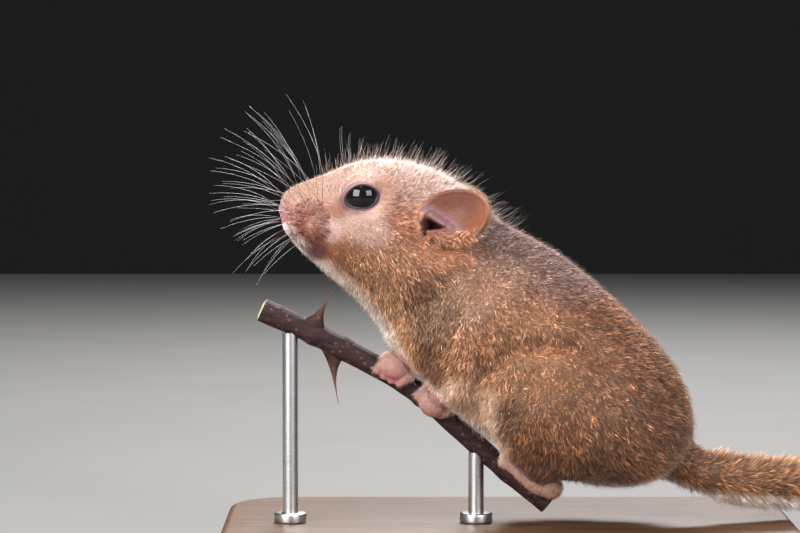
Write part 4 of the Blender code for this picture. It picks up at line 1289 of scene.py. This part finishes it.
# Feet, nose and the inside of the ears carry only short single hairs, and the skin shows between them.
# They lie toward the toes on the feet and toward the rim in the ears.
SHORT_HAIR_WIDTH = 0.028
sparse_count = 14000
near_feet = 1 - ease(foot_edge(ground.middles), 0.6, 1.6)
outer = np.clip(middle_normals @ np.array((0.1, -0.5, 0.8)), 0.0, 1.0) * near_feet
u, v, w = ear_place(ground.middles)
density = outer * 2.4 + inner_ear * (ear_pit(u, v) > 1.0) * 0.5
from_nose = away(ground.middles, NOSE_TIP)
density += (1 - ease(from_nose, 1.4, 3.4)) * (from_nose > 0.9) * 1.2
roots, normals, uv = ground.sow(sparse_count, density)
way, lift = comb(roots)
at_feet = foot_edge(roots) < 2.0
way = np.where(at_feet[:, None], np.array((-0.5, -0.3, -0.6)), way)
u, v, w = ear_place(roots)
in_ear = ear_rim(u, v) < 1.2
way = np.where(in_ear[:, None], np.array((0.9, 0.0, 0.25)), way)
lengths = np.where(at_feet, 0.75, np.where(in_ear, 0.7, 0.45)) * rng.uniform(0.7, 1.3, sparse_count)
leaders = np.arange(sparse_count)
_, tips, across = spikes(roots, normals, way, lift * 0.3 + at_feet * 0.5, lengths, (12.0, 3.0), leaders,
                         (12.0, 12.0))
colours = np.where(in_ear[:, None], np.array(linear(150, 98, 72)), np.array(linear(214, 184, 172)))
colours = colours * rng.uniform(0.75, 1.2, sparse_count)[:, None]
widths = np.full(sparse_count, SHORT_HAIR_WIDTH)
mesh = hair_mesh("short_hairs", roots, None, tips, across, widths, uv, colours)
settle_mesh(mesh, "short_hairs", head_fur, "pale_fur")

# The whiskers are stiff tapered hairs in five rows on each side of the muzzle, with two over each eye.
# Each grows from its own pore, dark at the root and pale at the tip, and bends gently back.
whisker_finish, tree, shader = new_finish("whisker", Roughness=0.35, Specular_IOR_Level=0.5)
share = add(tree, "ShaderNodeAttribute", attribute_name="along")
whisker_tone = ramp(tree, share.outputs["Fac"],
                    [(0.0, linear(30, 14, 12)), (0.25, linear(52, 30, 26)), (0.38, linear(120, 106, 104)),
                     (0.56, linear(190, 188, 190))])
painted(tree, shader, whisker_tone, share.outputs["Fac"], 0.3, 0.45)
# Each row's angle in degrees above straight ahead, at the root and at the tip, and its longest hair's reach.
WHISKER_ROWS = [(80.0, 44.0, 21.0), (58.0, 18.0, 21.5), (34.0, -10.0, 18.5), (8.0, -34.0, 16.5),
                (-22.0, -56.0, 14.5)]
WHISKERS_IN_ROW = 6
WHISKER_RADIUS = 0.028
BROW_HAIR_RADIUS = 0.02
WHISKER_STEPS = 10
bm = bmesh.new()
along_layer = bm.verts.layers.float.new("along")


def whisker(bm, root, first, last, length, thick):
    """A tapered hair that starts toward first and ends toward last."""
    points = [Vector(root)]
    for k in range(WHISKER_STEPS):
        way = Vector(first).lerp(Vector(last), k / (WHISKER_STEPS - 1)).normalized()
        points.append(points[-1] + way * length / WHISKER_STEPS)
    radii = [thick * (1 - 0.78 * (k / WHISKER_STEPS) ** 0.7) for k in range(WHISKER_STEPS + 1)]
    rings, _ = sweep(bm, points, radii, 4)
    for k, ring in enumerate(rings):
        for vertex in ring:
            vertex[along_layer] = k / WHISKER_STEPS


def ahead(side, rise_deg, out_deg):
    """A direction from the muzzle: forward, turned up by one angle and out to the side by another."""
    rise, out = math.radians(rise_deg), math.radians(out_deg)
    return Vector((-math.cos(rise) * math.cos(out), side * math.sin(out), math.sin(rise) * math.cos(out)))


for side in SIDES:
    for row, (first_deg, last_deg, reach) in enumerate(WHISKER_ROWS):
        for place in range(WHISKERS_IN_ROW):
            share = place / (WHISKERS_IN_ROW - 1)
            root = (-28.0 + 4.3 * share + rng.normal(0, 0.15), side * (1.4 + 2.5 * share),
                    46.9 - 0.75 * row + 0.2 * share + rng.normal(0, 0.15))
            out_deg = 16 + 30 * share + rng.normal(0, 6)
            jitter = rng.normal(0, 6)
            first = ahead(side, first_deg + 8 * share + jitter, out_deg + 10)
            last = ahead(side, last_deg + 14 * share + jitter * 1.5, out_deg - 12)
            length = reach * (0.62 + 0.38 * share) * rng.uniform(0.78, 1.03)
            whisker(bm, root, first, last, length, WHISKER_RADIUS)
    for number in range(2):
        root = (-20.6 + 0.5 * number, side * 4.9, 50.3)
        first = (-0.35 + 0.15 * number, side * 0.35, 0.9)
        whisker(bm, root, first, (0.05, side * 0.2, 1.0), 7.0 - number, BROW_HAIR_RADIUS)
settle(bm, "whiskers", whisker_finish, "pale_fur")

# The set is a wide pale floor and a near-black backdrop, under soft studio light from two sides, above and
# behind. The camera stands almost level with the animal, and its scale is the photo's.
PIXELS_PER_MM = 7.8
PICTURE_WIDTH = 800
SENSOR_WIDTH = 36.0
# In metres: half the floor's width, half the backdrop's, and the backdrop's middle.
FLOOR_REACH = 0.6
BACKDROP_REACH = 1.6
BACKDROP_MIDDLE = (0.0, 0.9, 0.6)
DISTANCE = 420.0
ELEVATION_DEG = 3.5
TARGET = Vector((-14.1, 0.0, 39.0))


def lamp(name, place, aim, size, power, colour=(1.0, 1.0, 1.0)):
    """A softbox: a rectangle of light at place, turned toward aim, both in millimetres."""
    light = bpy.data.lights.new(name, "AREA")
    light.shape = "RECTANGLE"
    light.size, light.size_y = (length * MM for length in size)
    light.energy = power
    light.color = colour
    holder = bpy.data.objects.new(name, light)
    bpy.context.scene.collection.objects.link(holder)
    holder.location = Vector(place) * MM
    holder.rotation_euler = (Vector(aim) - Vector(place)).to_track_quat("-Z", "Y").to_euler()


lamp("key_softbox", (-200, -255, 150), (-16, -4, 46), (200, 200), 2.3, (1.0, 0.98, 0.95))
lamp("fill_softbox", (180, -250, 150), (-12, 0, 40), (180, 160), 1.1, (0.96, 0.98, 1.0))
lamp("top_softbox", (-60, -60, 300), (-10, 0, 40), (180, 180), 1.0)
lamp("rim_softbox", (60, 330, 320), (-5, 0, 40), (220, 120), 3.4)
world = bpy.data.worlds.new("studio")
bpy.context.scene.world = world
world.use_nodes = True
sky = world.node_tree.nodes["Background"]
sky.inputs["Color"].default_value = (0.75, 0.78, 0.82, 1.0)
sky.inputs["Strength"].default_value = 0.2
bpy.context.scene.view_settings.view_transform = "Standard"

camera_data = bpy.data.cameras.new("camera")
camera = bpy.data.objects.new("camera", camera_data)
bpy.context.scene.collection.objects.link(camera)
rise = math.radians(ELEVATION_DEG)
camera.location = (TARGET + Vector((0.0, -math.cos(rise), math.sin(rise))) * DISTANCE) * MM
camera.rotation_euler = (math.pi / 2 - rise, 0.0, 0.0)
camera_data.sensor_width = SENSOR_WIDTH
camera_data.lens = SENSOR_WIDTH * DISTANCE * PIXELS_PER_MM / PICTURE_WIDTH
camera_data.clip_start = 0.01
camera_data.clip_end = 20.0
bpy.context.scene.camera = camera


def staged(bm, name, colour, roughness):
    """A plane of the set, in faintly uneven matt paint."""
    finish, tree, shader = new_finish(name + "_paint", Roughness=roughness)
    mottle = texture(tree, "ShaderNodeTexNoise", {"Scale": 30.0, "Detail": 3.0})
    dim = tuple(channel * 0.94 for channel in colour)
    paint = ramp(tree, mottle.outputs["Fac"], [(0.3, dim), (0.7, colour)])
    tree.links.new(paint, shader.inputs["Base Color"])
    mesh = bpy.data.meshes.new(name)
    bm.to_mesh(mesh)
    bm.free()
    plane = bpy.data.objects.new(name, mesh)
    bpy.context.scene.collection.objects.link(plane)
    mesh.materials.append(finish)


bm = bmesh.new()
bmesh.ops.create_grid(bm, x_segments=1, y_segments=1, size=FLOOR_REACH)
staged(bm, "floor", (0.15, 0.147, 0.142), 0.8)
bm = bmesh.new()
upright = Matrix.Rotation(math.pi / 2, 4, "X")
bmesh.ops.create_grid(bm, x_segments=1, y_segments=1, size=BACKDROP_REACH, matrix=upright)
bmesh.ops.translate(bm, vec=BACKDROP_MIDDLE, verts=bm.verts)
staged(bm, "backdrop", (0.012, 0.012, 0.013), 0.9)
